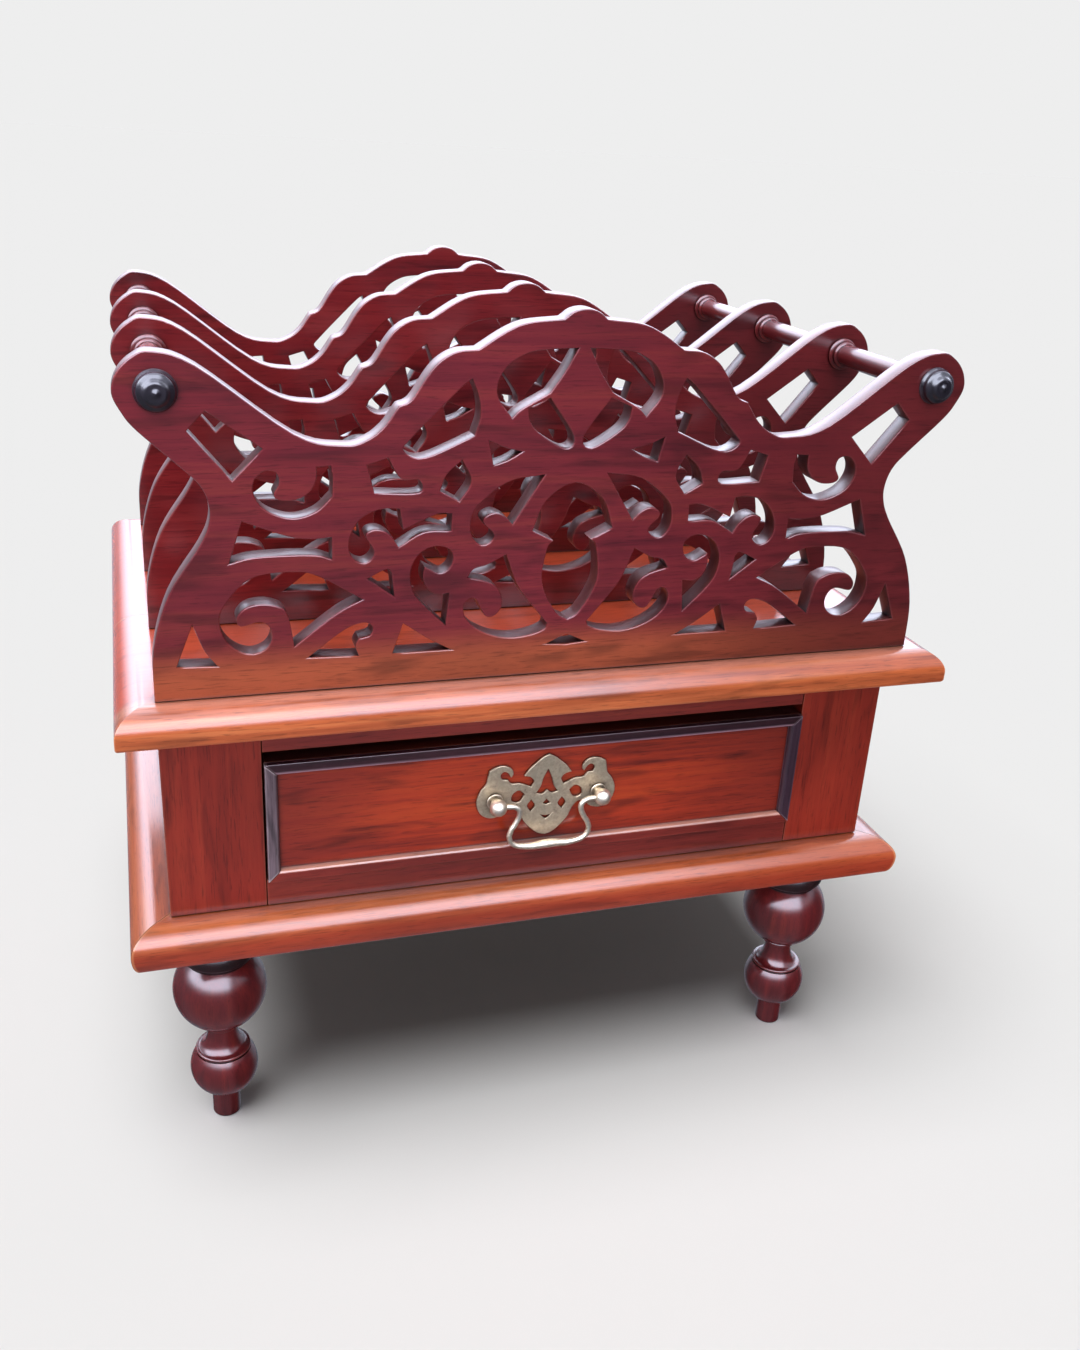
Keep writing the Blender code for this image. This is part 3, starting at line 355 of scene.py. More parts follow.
# Where the dark, the middle and the light tone lie in the figure
FIGURE_STOPS = (0.34, 0.49, 0.66)
# Range of a mark's noise, and the brightness at both ends of it
MARK_SHADES = {"pore": (0.34, 0.46, 0.62, 1.0), "cloud": (0.3, 0.7, 0.75, 1.15)}
SMOKE_RANGE = (0.32, 0.46)


def mahogany(name, grain, tones, worn, polish=0.16, coat=1.0, wear=0.5, smoke=0.3, fades=()):
    """French-polished mahogany with its grain along an axis of the frame.

    The tones run from dark to light. The polish is the coat's roughness, coat is how much of it is left,
    wear how much bare wood the arrises show, and smoke the depth of the dark smears.
    """
    material, tree, here = new_finish(f"{name}_{grain}")
    marks = grain_marks(tree, here, grain, MAHOGANY_MARKS, ragged=0.6, wander=0.5)
    figure = add_node(tree, "Mix", NUMBER_MIX, {
        "Factor": STREAK_SHARE, NUMBER_A: marks["ribbon"], NUMBER_B: marks["streak"]})
    timber = add_node(tree, "ValToRGB", inputs={"Fac": figure.outputs[NUMBER_RESULT]}, stops=[
        (place, linear(tone)) for place, tone in zip(FIGURE_STOPS, tones)])
    shades = [(marks[mark], *shade) for mark, shade in MARK_SHADES.items()]
    shades.append((marks["smoke"], *SMOKE_RANGE, 1.0 - smoke, 1.0))
    # Wide occlusion darkens recesses as painted shade, and tight occlusion darkens corners with wax
    for reach, depth in SHADE_AND_WAX.items():
        corner = add_node(tree, "AmbientOcclusion", {"samples": OCCLUSION_SAMPLES}, {"Distance": reach})
        shades.append((corner.outputs["AO"], *SHADE_AND_WAX_RANGE, 1.0 - depth, 1.0))
    colour = shaded(tree, faded(tree, here, timber.outputs["Color"], fades), shades)
    relief = add_node(tree, "Bump", inputs={
        "Strength": PORE_RELIEF, "Distance": PORE_DEPTH, "Height": marks["pore"]}).outputs["Normal"]
    fill(tree, tree.nodes[SHADER], {
        "Base Color": rubbed(tree, colour, marks["cloud"], worn, wear), "Roughness": BARE_WOOD_ROUGHNESS,
        "IOR": SHELLAC_IOR, "Specular IOR Level": BARE_WOOD_SPECULAR, "Coat Weight": coat,
        "Coat Roughness": polish, "Coat IOR": SHELLAC_IOR, "Normal": relief, "Coat Normal": relief})
    return material


print("shellac has an IOR of", SHELLAC_IOR)

# %% [markdown]
# ## Fret finishes
# The panels' faces are polished to a deep shine. The front one has gone purple brown, with painted bounce
# light at its foot, and those behind it are redder, which paints the red light that bounces between them.
# All are painted darker towards the right end, as shade. The saw's walls inside the piercings took less
# polish. One finish for all of it would look cast, so faces and walls have their own.

# %% Fret finishes
PANEL_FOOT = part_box("top_board_front")[1].z
# Lighter and browner near the foot: painted bounce light from the top board in front
PAINTED_BOUNCE_FOOT = ("Z", PANEL_FOOT + 10 * MM, PANEL_FOOT + 36 * MM, "#a04e2e")
# Darker towards the right end: painted shade
PAINTED_SHADE_RIGHT_END = ("X", 220 * MM, -20 * MM, "#4e1418")
# Dark and glassy, with a faint figure that shows where nothing bright is mirrored
front_fret_wood = mahogany("dark_polished_mahogany", "X", ("#54101e", "#681a24", "#7a2a28"), "#8a4a48",
                           smoke=0.4, fades=(PAINTED_BOUNCE_FOOT, PAINTED_SHADE_RIGHT_END))
# As glassy, but more smeared, and redder: painted red bounce light between the panels
rear_fret_wood = mahogany("red_polished_mahogany", "X", ("#561218", "#68171c", "#782224"), "#98584c",
                          smoke=0.5, fades=(PAINTED_SHADE_RIGHT_END,))
# Greyer, and dull enough to glimmer without mirroring anything
sawn_edge_wood = mahogany("sawn_edge_mahogany", "X", ("#36161a", "#4a2220", "#5e322c"), "#8a5a58",
                          polish=0.32)
print("fret finishes:", front_fret_wood.name, rear_fret_wood.name, sawn_edge_wood.name)

# %% [markdown]
# ## The fret drawing
# Each panel was drawn on paper, glued to a board and sawn out with a fine blade. The drawing could be
# traced as many short lines, but a scroll needs only the points where its curve changes, joined by
# smooth curves, and a mark where it has a corner. One half is drawn and mirrored.

# %% The fret drawing
SHARP = True
# Half of the panel in millimetres: out from the middle, up from the foot. SHARP marks a corner.
FRET_OUTLINE = [
    (237.5, 0, SHARP), (236, 30.5), (226.5, 61.5), (209, 88.5), (203.5, 100.5), (203, 110.5),
    (206.5, 120.5), (215, 130), (236, 150), (243, 159.5), (247, 169.5), (244, 179.5), (236.5, 187),
    (227, 190), (206, 183), (158, 147.5), (132, 141), (120, 143.5), (110.5, 150.5),
    (102.5, 161.5, SHARP), (95.5, 165), (86.5, 178.5), (80, 185.5), (71, 190.2), (59.5, 191.3, SHARP),
    (44, 201), (32, 205.5), (12.5, 207.5, SHARP), (7, 211.5), (0, 213)]
FRET_PIERCINGS = {
    "lobe slot": [
        (212, 150, SHARP), (202.5, 160, SHARP), (174.5, 140, SHARP), (190.5, 123.5, SHARP)],
    "smile": [
        (174, 128), (168, 127), (166.5, 121.5), (169.5, 115), (166, 112), (158, 112), (151, 115.5),
        (147, 122), (146.5, 129.5, SHARP), (139, 130, SHARP), (138, 123.5), (138.5, 113.5, SHARP),
        (147, 105.5), (158, 102), (168, 104), (176, 109), (180, 116.5), (179, 123.5)],
    "waist wedge": [
        (186.5, 101, SHARP), (194, 78, SHARP), (180, 81), (150, 81), (139, 78, SHARP),
        (139, 90.5, SHARP), (150, 89.8), (163, 92)],
    "great scroll": [
        (160, 71.5), (146, 68), (122.5, 53.5, SHARP), (137, 46), (160.5, 28, SHARP), (164, 47),
        (170, 52.5), (179, 54), (187, 52), (191.5, 46.5), (189.5, 41.5), (179, 43.5), (174, 40),
        (172.8, 33.5), (176.5, 27.5), (184, 25), (192, 28), (198, 34.5), (200.5, 43.5), (198, 53.5),
        (183, 69)],
    "corner": [
        (215, 44, SHARP), (224.5, 20, SHARP), (203, 19, SHARP), (209.5, 28.5)],
    "fleur": [
        (153, 20.5, SHARP), (136, 33.5), (127, 38.3), (120, 39.3), (116.5, 36), (118, 31.8),
        (124.5, 30, SHARP), (126.5, 25.5), (124.5, 19.5, SHARP)],
    "dart": [
        (119.5, 65.5, SHARP), (109, 70.5), (106, 68.5, SHARP), (104.3, 54.3, SHARP)],
    "foot triangle": [
        (99, 37.5, SHARP), (105, 19.5, SHARP), (71, 19.5, SHARP), (84, 27)],
    "tailed scroll": [
        (74.3, 35, SHARP), (90, 51), (94.5, 60.5), (94.8, 69.5), (91, 77.5), (85, 81.8), (78, 82.7),
        (72, 79.5), (70.8, 74), (73.5, 69), (79, 67), (87, 71, SHARP), (88, 64.5), (85.5, 58),
        (80, 54), (72.5, 54.5, SHARP)],
    "arched scroll": [
        (72, 101.3, SHARP), (80.5, 101.3), (99.5, 93, SHARP), (101.5, 105, SHARP), (109, 105.5),
        (117, 103.8), (124, 99), (128.5, 91.5), (129.7, 83.5), (127, 77.5), (121.5, 75), (117, 77.5),
        (116, 82), (120.5, 90.5), (116.5, 93.8), (111, 93.2), (106, 89.5), (102, 83.3, SHARP),
        (88, 91.3), (72.3, 91.5, SHARP)],
    "comma": [
        (19, 122, SHARP), (40, 118.5), (57.5, 105), (61, 95.5), (60, 88), (55.5, 82.8), (50, 83.5),
        (47.3, 88.3), (53.5, 95), (52.5, 99), (47, 101), (41, 98.5), (36.5, 94, SHARP)],
    "hooked scroll": [
        (39.5, 76, SHARP), (31, 55.5), (12.5, 32, SHARP), (14, 28.8), (22, 25.8), (34, 24.5),
        (46, 26.8), (56.5, 32.2), (62.5, 39), (63.8, 45.5), (61, 50), (56.5, 49.5), (51, 39.5),
        (46, 38.5), (41.5, 43), (41, 49.5), (44.5, 56.5), (51, 60.5), (61.8, 63.3, SHARP), (58, 68.3),
        (50, 70.5)],
    "crown": [
        (3.5, 192, SHARP), (25, 190.8), (35, 188), (43.5, 182), (48, 173.5), (47.5, 165),
        (39.5, 154.5, SHARP), (34, 159.5), (18.5, 168, SHARP), (10.8, 179)],
    "petal": [
        (30.5, 159.5, SHARP), (29, 152.5), (23.5, 146), (8, 137), (3, 143.5), (18, 165, SHARP)],
    "shoulder": [
        (62.5, 175.5, SHARP), (58.5, 165.5), (57.5, 155.5), (60.5, 145, SHARP), (88, 133.5),
        (99.5, 137.5), (95, 144.5), (69, 170.5)],
    "chip": [
        (52, 142, SHARP), (43, 138), (33, 135.5, SHARP), (41, 131), (49, 128.3, SHARP)],
    "kite": [
        (67, 131.5, SHARP), (61.5, 119.5), (68, 108.5, SHARP), (79, 114.5, SHARP), (75.5, 123.5)],
    "flag": [
        (119.5, 130, SHARP), (108, 133.5, SHARP), (101, 122), (91, 121), (91, 114),
        (115.5, 114.5, SHARP)],
}
# Piercings that cross the middle, right half from top to bottom
FRET_MIDDLE_PIERCINGS = {
    "vase": [
        (0, 117), (17, 107), (24.3, 89.5, SHARP), (11.5, 83, SHARP), (15, 78), (16.8, 57.5), (7.5, 39),
        (0, 34, SHARP)],
    "knot": [
        (0, 24.5, SHARP), (12, 19, SHARP), (0, 18, SHARP)],
}


def mirrored(points):
    """The other half of a drawing, run back the other way."""
    return [(-p[0], *p[1:]) for p in reversed(points)]


def both_halves(half):
    """A closed loop from a half that starts and ends on the middle line."""
    return half + mirrored(half)[1:-1]


def whole_drawing(outline, piercings, middle_piercings):
    """The loops of a drawing: its outline, each piercing with its twin, and those in the middle."""
    loops = [outline]
    for piercing in piercings.values():
        loops += [piercing, mirrored(piercing)]
    return loops + [both_halves(piercing) for piercing in middle_piercings.values()]


fret_loops = whole_drawing(FRET_OUTLINE + mirrored(FRET_OUTLINE)[1:], FRET_PIERCINGS, FRET_MIDDLE_PIERCINGS)
print("loops in a panel:", len(fret_loops))

# %% [markdown]
# ## Sawing
# A flat drawing with holes could be cut from a board by Booleans, one for each hole. A filled 2D curve is
# made for it: it keeps the holes open, gives the board its thickness, and rolls the edges over as
# sandpaper does. The curve is then turned into a mesh, welded and stood upright.

# %% Sawing
CURVE_STEPS = 5
# A handle reaches a third of the way to its neighbour at a corner, and on a smooth stretch a sixth of the
# way from one neighbour to the other
CORNER_PARTS = 3
SMOOTH_PARTS = 6
ARRIS_STEPS = 1
WELD = 0.002 * MM
SHARP_DEGREES = 38
PLANED_FLAT = 0.999
STAND_UP = Matrix.Rotation(math.pi / 2, 4, "X")


def add_loop(drawing, points):
    """Add a closed Bezier loop through points in mm, straight at corners and smooth elsewhere."""
    spline = drawing.splines.new("BEZIER")
    spline.bezier_points.add(len(points) - 1)
    spline.use_cyclic_u = True
    spline.resolution_u = CURVE_STEPS
    spots = [Vector((p[0], p[1], 0)) * MM for p in points]
    for i, knot in enumerate(spline.bezier_points):
        here, before, after = spots[i], spots[i - 1], spots[(i + 1) % len(spots)]
        corner = len(points[i]) > 2
        parts = CORNER_PARTS if corner else SMOOTH_PARTS
        knot.co = here
        knot.handle_left_type = knot.handle_right_type = "FREE"
        knot.handle_left = here + (before - (here if corner else after)) / parts
        knot.handle_right = here + (after - (here if corner else before)) / parts


def mesh_of(curve):
    """The mesh of a curve, taken from an object that is there only for that."""
    holder = bpy.data.objects.new(curve.name, curve)
    bpy.context.scene.collection.objects.link(holder)
    bpy.context.view_layer.update()
    mesh = bpy.data.meshes.new_from_object(holder.evaluated_get(bpy.context.evaluated_depsgraph_get()))
    bpy.data.objects.remove(holder)
    return mesh


def smooth_mesh(mesh, sharp_degrees=SHARP_DEGREES, planed=None):
    """Shade a mesh smooth but for its real edges, and for the faces square to an axis if one is given."""
    mesh.shade_smooth()
    mesh.set_sharp_from_angle(angle=math.radians(sharp_degrees))
    if planed is not None:
        for face in mesh.polygons:
            face.use_smooth = abs(face.normal[planed]) < PLANED_FLAT
    return mesh


def sawn(loops, thickness, arris, place):
    """Saw a drawing with holes out of a board that stands with its middle at a place."""
    drawing = bpy.data.curves.new("drawing", "CURVE")
    drawing.dimensions = "2D"
    drawing.fill_mode = "BOTH"
    drawing.extrude = thickness / 2 - arris
    drawing.bevel_depth = arris
    drawing.bevel_resolution = ARRIS_STEPS
    drawing.offset = -arris
    for loop in loops:
        add_loop(drawing, loop)
    mesh = mesh_of(drawing)
    bm = bmesh.new()
    bm.from_mesh(mesh)
    bmesh.ops.remove_doubles(bm, verts=bm.verts, dist=WELD)
    bmesh.ops.recalc_face_normals(bm, faces=bm.faces)
    bm.transform(Matrix.Translation(place) @ STAND_UP)
    bm.to_mesh(mesh)
    bm.free()
    return smooth_mesh(mesh, planed=1)


print("steps between two points of a drawing:", CURVE_STEPS)

# %% [markdown]
# ## Fret panels
# Four panels stand one behind the other, the same drawing sawn four times. They could share one mesh,
# but each is made in its own place, so that the grain differs from board to board. One small function
# shows every piece of this lesson and ties it to its body and to the solid it replaces.

# %% Fret panels
PANEL_COUNT = 4
PANEL_HEIGHT = FRET_OUTLINE[-1][1] * MM
PANEL_ARRIS = 0.7 * MM
SAWN_WALL = 0.3


def add_piece(how, node, mesh, material, body):
    """Show a mesh made in the frame's own space: it rides on a body and stands for a CAD node."""
    mesh.materials.clear()
    mesh.materials.append(material)
    piece = bpy.data.objects.new(f"{how}_{node}", mesh)
    bpy.context.scene.collection.objects.link(piece)
    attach(piece, body)
    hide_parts(node)


def refinish(mesh, material, chosen):
    """Give a second finish to the faces that a test chooses."""
    mesh.materials.append(material)
    for face in mesh.polygons:
        face.material_index = int(chosen(face))


for number in range(1, PANEL_COUNT + 1):
    node = f"fret_panel_{number}"
    low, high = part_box(node)
    seat = Vector((0, (low.y + high.y) / 2, high.z - PANEL_HEIGHT))
    mesh = sawn(fret_loops, high.y - low.y, PANEL_ARRIS, seat)
    wood = front_fret_wood if number == 1 else rear_fret_wood
    add_piece("sawn", node, mesh, wood, "stand")
    refinish(mesh, sawn_edge_wood, lambda face: abs(face.normal.y) < SAWN_WALL)
    print(node, "has", len(mesh.polygons), "faces")

# %% [markdown]
# ## Lathe
# Feet, spindles and bosses came off a lathe: one profile swept round an axis. A stack of cylinders and
# balls would leave seams, so each profile is one line of arcs, spun into one skin. Rings are half round
# and balls meet their necks in a small groove, as the turner's tool leaves them.

# %% Lathe
LATHE_SIDES = 64
ARC_STEP_DEGREES = 5


def arc(centre, radii, start, end):
    """Points in mm on an ellipse, from start to end in degrees."""
    steps = max(2, math.ceil(abs(end - start) / ARC_STEP_DEGREES))
    angles = [math.radians(start + (end - start) * i / steps) for i in range(steps + 1)]
    return [(centre[0] + radii[0] * math.cos(a), centre[1] + radii[1] * math.sin(a)) for a in angles]


def ball(radius, height, bottom_radius, top_radius):
    """A ball's side, from the circle of bottom_radius up to that of top_radius."""
    low = -math.degrees(math.acos(bottom_radius / radius))
    high = math.degrees(math.acos(top_radius / radius))
    return arc((0, height), (radius, radius), low, high)


def ring(radius, low, high, bulge):
    """A ring's half-round edge between two heights."""
    return arc((radius - bulge, (low + high) / 2), (bulge, (high - low) / 2), -90, 90)


def turned(profile, stand_at):
    """Spin a profile of (radius, height) points in mm round Z, then set it in place by a matrix."""
    bm = bmesh.new()
    verts = [bm.verts.new((radius * MM, 0, height * MM)) for radius, height in profile]
    edges = [bm.edges.new(pair) for pair in zip(verts, verts[1:])]
    bmesh.ops.spin(bm, geom=verts + edges, cent=(0, 0, 0), axis=(0, 0, 1), angle=math.tau,
                   steps=LATHE_SIDES, use_merge=True)
    bmesh.ops.remove_doubles(bm, verts=bm.verts, dist=WELD)
    bmesh.ops.recalc_face_normals(bm, faces=bm.faces)
    bm.transform(stand_at)
    mesh = bpy.data.meshes.new("turning")
    bm.to_mesh(mesh)
    bm.free()
    return smooth_mesh(mesh)


print("sides of a turned piece:", LATHE_SIDES)

# %% [markdown]
# ## Turned finishes
# Turned wood is burnished on the lathe before it is polished, so it shines as the panels do, in a darker
# red. No duster reaches the collars under the plinth, which are dull with soot and painted dark as the
# plinth's shade, and the bosses have been blackened. The same mahogany gives all three, with other tones
# and another polish.

# %% Turned finishes
TURNED_TONES = ("#420e11", "#561518", "#6a201c")
# Burnished: bright, rounded highlights on a deep red
turned_wood = {axis: mahogany("turned_mahogany", axis, TURNED_TONES, "#8a4e42", polish=0.17)
               for axis in "YZ"}
# Sooty and painted as the plinth's shade: nearly black, with hardly a highlight
collar_soot_and_shade_wood = mahogany("turned_mahogany_soot_and_painted_shade", "Z", ("#140a0c", "#1e0e10", "#2a1416"), "#4a2a28",
                       polish=0.3, coat=0.35)
# Blackened: as dark, but with sharp small highlights
boss_wood = mahogany("blackened_turned_mahogany", "Y", ("#0e0c14", "#18141c", "#26202a"), "#5e5660",
                     polish=0.15)
print("turned finishes:", len(turned_wood) + 2)

# %% [markdown]
# ## Feet
# A foot is one turning: a worn peg, a ball with a groove and a lip, a hollow neck, a larger ball, and a
# collar and a flange under the plinth. Its heights could be listed, but here each part starts where the
# last one ended, so a change to one moves all above it. Faces above the soot line are dark with soot and
# painted shade.

# %% Feet
# Radii and heights in millimetres, from the floor up
PEG = 9.25
PEG_HEIGHT = 20.0
LOWER_BALL = 22.5
FLARE = 18.3
LIP = 1.3
LIP_GAP = 0.9
LIP_HEIGHT = 2.0
NECK = 9.5
NECK_HEIGHT = 23.6
NECK_RING = 12.5
NECK_RING_HEIGHT = 4.0
# The neck starts just past the lip's end, so that no point is made twice
NECK_START_DEGREES = 268
UPPER_BALL = 30.5
COLLAR_SEAT = 20.5
COLLAR_SEAT_HEIGHT = 2.4
COLLAR = 25.0
COLLAR_HEIGHT = 14.5
COVE = 19.0
COVE_HEIGHT = 10.5
FLANGE = 27.0
FLANGE_HEIGHT = 10.0
GROOVE = 0.8
EASE = 1.2
FLANGE_EASE = 3 * EASE
SEAT_GAP = 0.3


def half_chord(radius, edge):
    """How far from a ball's middle its circle of a smaller radius lies."""
    return math.sqrt(radius ** 2 - edge ** 2)


def foot_profile():
    """A foot from its worn peg up to the flange under the plinth."""
    lower = PEG_HEIGHT + half_chord(LOWER_BALL, PEG)
    flare = lower + half_chord(LOWER_BALL, FLARE)
    lip = flare + LIP_GAP
    cove = lip + LIP_HEIGHT
    neck_ring = flare + NECK_HEIGHT
    neck_top = neck_ring - NECK_RING_HEIGHT
    upper = neck_ring + half_chord(UPPER_BALL, NECK_RING)
    collar = upper + half_chord(UPPER_BALL, COLLAR_SEAT)
    collar_top = collar + COLLAR_HEIGHT
    flange = collar_top + COVE_HEIGHT
    top = flange + FLANGE_HEIGHT - SEAT_GAP
    return ([(0, 0)]
            + arc((PEG - EASE, EASE), (EASE, EASE), -90, 0)
            + ball(LOWER_BALL, lower, PEG, FLARE)
            + [(FLARE - LIP, flare)]
            + ring(FLARE, lip, cove, LIP)
            + arc((FLARE - LIP, neck_top), (FLARE - LIP - NECK, neck_top - cove), NECK_START_DEGREES, 180)
            + ring(NECK_RING, neck_top, neck_ring, NECK_RING - NECK - GROOVE)
            + ball(UPPER_BALL, upper, NECK_RING - GROOVE, COLLAR_SEAT)
            + ring(COLLAR, collar + COLLAR_SEAT_HEIGHT, collar_top, COLLAR - COLLAR_SEAT)
            + arc((COLLAR - EASE, collar_top + COVE_HEIGHT / 2),
                  (COLLAR - COVE - EASE, COVE_HEIGHT / 2), 270, 90)
            + ring(FLANGE, flange, top, FLANGE_EASE)
            + [(0, top)])


def middle(node):
    """The middle of a CAD node's box."""
    low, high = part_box(node)
    return (low + high) / 2


PLINTH_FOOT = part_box("plinth_front")[0].z
# Faces above this line get the collar finish: soot and painted shade under the plinth
SOOT_AND_SHADE_LINE = PLINTH_FOOT - (COLLAR_HEIGHT + COVE_HEIGHT + FLANGE_HEIGHT) * MM
for corner in ("front_left", "front_right", "back_left", "back_right"):
    node = f"foot_{corner}"
    spot = middle(node)
    mesh = turned(foot_profile(), Matrix.Translation((spot.x, spot.y, 0)))
    add_piece("turned", node, mesh, turned_wood["Z"], "stand")
    refinish(mesh, collar_soot_and_shade_wood, lambda face: face.center.z > SOOT_AND_SHADE_LINE)
print("foot height", round(foot_profile()[-1][1], 2), "mm")

# %% [markdown]
# ## Spindles and bosses
# Three spindles on each side tie the round ends of the panels, with a collar and a flange at both ends.
# Half of one is drawn and mirrored. Outside the first and the last panel a boss closes each bore. It
# could be a stack of rings, but a ripple along a dome gives grooves whose soft shoulders catch the light.

# %% Spindles and bosses
# Radii and lengths in millimetres; the grooves' depth is a share of the dome
ROD = 6.75
ROD_SWELL = 0.35
ROD_COLLAR = 8.5
ROD_COLLAR_LENGTH = 3.5
ROD_FLANGE = 10.4
ROD_FLANGE_LENGTH = 3.0
BOSS = 11.0
BOSS_HEIGHT = 10.0
BOSS_GROOVES = 3
BOSS_GROOVE_SHARE = 0.07
BOSS_GROOVE_STEPS = 8
PANEL_PITCH = middle("fret_panel_2").y - middle("fret_panel_1").y
PANEL_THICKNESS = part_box("fret_panel_1")[1].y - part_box("fret_panel_1")[0].y


def spindle_profile():
    """A spindle between two panels, with a flange and a collar at each end."""
    end = (PANEL_PITCH - PANEL_THICKNESS) / MM / 2 - SEAT_GAP
    flange = end - ROD_FLANGE_LENGTH
    collar = flange - ROD_COLLAR_LENGTH
    half = (arc((ROD, 0), (ROD_SWELL, collar), 0, 90)
            + ring(ROD_COLLAR, collar, flange, ROD_COLLAR - ROD)
            + ring(ROD_FLANGE, flange, end, ROD_FLANGE - ROD_COLLAR + GROOVE)
            + [(0, end)])
    return [(radius, -height) for radius, height in reversed(half)] + half[1:]


def boss_profile():
    """A dome with turned grooves that closes a bore outside the first or the last panel."""
    steps = BOSS_GROOVE_STEPS * BOSS_GROOVES
    profile = [(0, 0)]
    for i in range(steps + 1):
        angle = math.pi / 2 * i / steps
        cut = 1 - BOSS_GROOVE_SHARE * math.sin(2 * BOSS_GROOVES * angle) ** 2
        profile.append((cut * BOSS * math.cos(angle), cut * BOSS_HEIGHT * math.sin(angle)))
    return profile


for side in ("left", "right"):
    for number in range(1, PANEL_COUNT):
        node = f"spindle_{side}_{number}"
        mesh = turned(spindle_profile(), Matrix.Translation(middle(node)) @ STAND_UP)
        add_piece("turned", node, mesh, turned_wood["Y"], "stand")
    for end, panel, way in (("front", "fret_panel_1", -1), ("back", f"fret_panel_{PANEL_COUNT}", 1)):
        node = f"boss_{end}_{side}"
        spot = middle(node)
        spot.y = middle(panel).y + way * (PANEL_THICKNESS / 2 + SEAT_GAP * MM)
        turn = Matrix.Rotation(-way * math.pi / 2, 4, "X")
        mesh = turned(boss_profile(), Matrix.Translation(spot) @ turn)
        add_piece("turned", node, mesh, boss_wood, "stand")
print("points of a spindle:", len(spindle_profile()), "and of a boss:", len(boss_profile()))

# %% [markdown]
# ## Moulding finishes
# Top and plinth lie in the light, which has bleached them to orange and russet. Before the front panel the
# top has a painted lilac reflection, between the panels it is redder, and the plinth is red near its lower
# edge. A second board with another colour would leave a line there, so fades do it.

# %% Moulding finishes
PANEL_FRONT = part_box("fret_panel_1")[0].y
# A lilac tint before the front panel is a painted reflection, and a red tint lies between the panels
TOP_FADES = (("Y", PANEL_FRONT - 3 * MM, PANEL_FRONT - 14 * MM, "#b2705a"),
             ("Y", PANEL_FRONT + 10 * MM, PANEL_FRONT, "#b03c1a"))
PLINTH_FADES = (("Z", PLINTH_FOOT + 6 * MM, PLINTH_FOOT + 18 * MM, "#8e2610"),)
PLINTH_TONES = ("#8e4020", "#a85430", "#b86a44")
# Bleached orange with a clear figure, and almost white along the moulding
top_wood = mahogany("orange_polished_mahogany", "X", ("#84381c", "#b05830", "#cc7a4c"), "#dca67c",
                    polish=0.15, fades=TOP_FADES)
# A quieter russet, whose thinner coat gives a softer band of light
plinth_wood = {axis: mahogany("russet_polished_mahogany", axis, PLINTH_TONES, "#c8875e", coat=0.9,
                              fades=PLINTH_FADES) for axis in "XY"}
print("moulding finishes:", 1 + len(plinth_wood))

# %% [markdown]
# ## Moulded top
# The top is two boards glued edge to edge, with a moulding worked along their outer edges. A bevel on a
# block would give an even round, but a moulding plane leaves a square edge below and an elliptical thumb
# above. So each point of a drawn section gives a ring round the board, and the rings are skinned.

# %% Moulded top
# Sizes of the section in millimetres
TOP_THICKNESS = 21.0
THUMB_RUN = 17.0
THUMB_FOOT = 7.5
# The thumb starts a little way up its ellipse, which leaves a small step below it
THUMB_STEP = 0.4
THUMB_START_DEGREES = 176
MOULDING_EASE = 3.0
MITRE_DEGREES = 9


def thumb_section():
    """The top's edge in mm as (in from the edge, up): eased below, square, then an elliptical thumb."""
    lower = [(MOULDING_EASE - x, MOULDING_EASE + y)
             for x, y in arc((0, 0), (MOULDING_EASE, MOULDING_EASE), -90, 0)]
    thumb = arc((THUMB_RUN, THUMB_FOOT), (THUMB_RUN, TOP_THICKNESS - THUMB_FOOT), THUMB_START_DEGREES, 90)
    return lower + [(0.0, THUMB_FOOT - THUMB_STEP)] + thumb


def loft(rings):
    """Skin rings of as many points each, close both ends and shade the result."""
    bm = bmesh.new()
    rows = [[bm.verts.new(point) for point in ring_points] for ring_points in rings]
    for low_row, high_row in zip(rows, rows[1:]):
        for i in range(len(low_row)):
            j = (i + 1) % len(low_row)
            bm.faces.new((low_row[i], low_row[j], high_row[j], high_row[i]))
    bm.faces.new(rows[0])
    bm.faces.new(rows[-1])
    bmesh.ops.recalc_face_normals(bm, faces=bm.faces)
    mesh = bpy.data.meshes.new("moulding")
    bm.to_mesh(mesh)
    bm.free()
    return smooth_mesh(mesh, MITRE_DEGREES, planed=2)


for end in ("front", "back"):
    node = f"top_board_{end}"
    low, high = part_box(node)
    rings = []
    for inward, up in thumb_section():
        x = high.x - inward * MM
        y0 = low.y + inward * MM if end == "front" else low.y
        y1 = high.y - inward * MM if end == "back" else high.y
        z = low.z + up * MM
        rings.append([(-x, y0, z), (x, y0, z), (x, y1, z), (-x, y1, z)])
    add_piece("moulded", node, loft(rings), top_wood, "stand")
print("points of the top's section:", len(thumb_section()))

# %% [markdown]
# ## Plinth
# The plinth is four strips, mitred at the corners, with a rolled nose and a drip edge that hangs below
# the base. They could be one frame, but the joints show, so one section is run along each side. Its ends
# are drawn in by as much as each point lies inwards, which cuts the mitre.

# %% Plinth
# Sizes of the section in millimetres
PLINTH_THICKNESS = 22.0
PLINTH_STRIP = 30.0
PLINTH_DRIP = 5.0
PLINTH_DRIP_WIDTH = 12.0
PLINTH_NOSE = 9.0
PLINTH_ROLL = 16.0
PLINTH_UNDER = 6.0
# The underside's round stops just short of the nose, so that no point is made twice
UNDER_END_DEGREES = 184


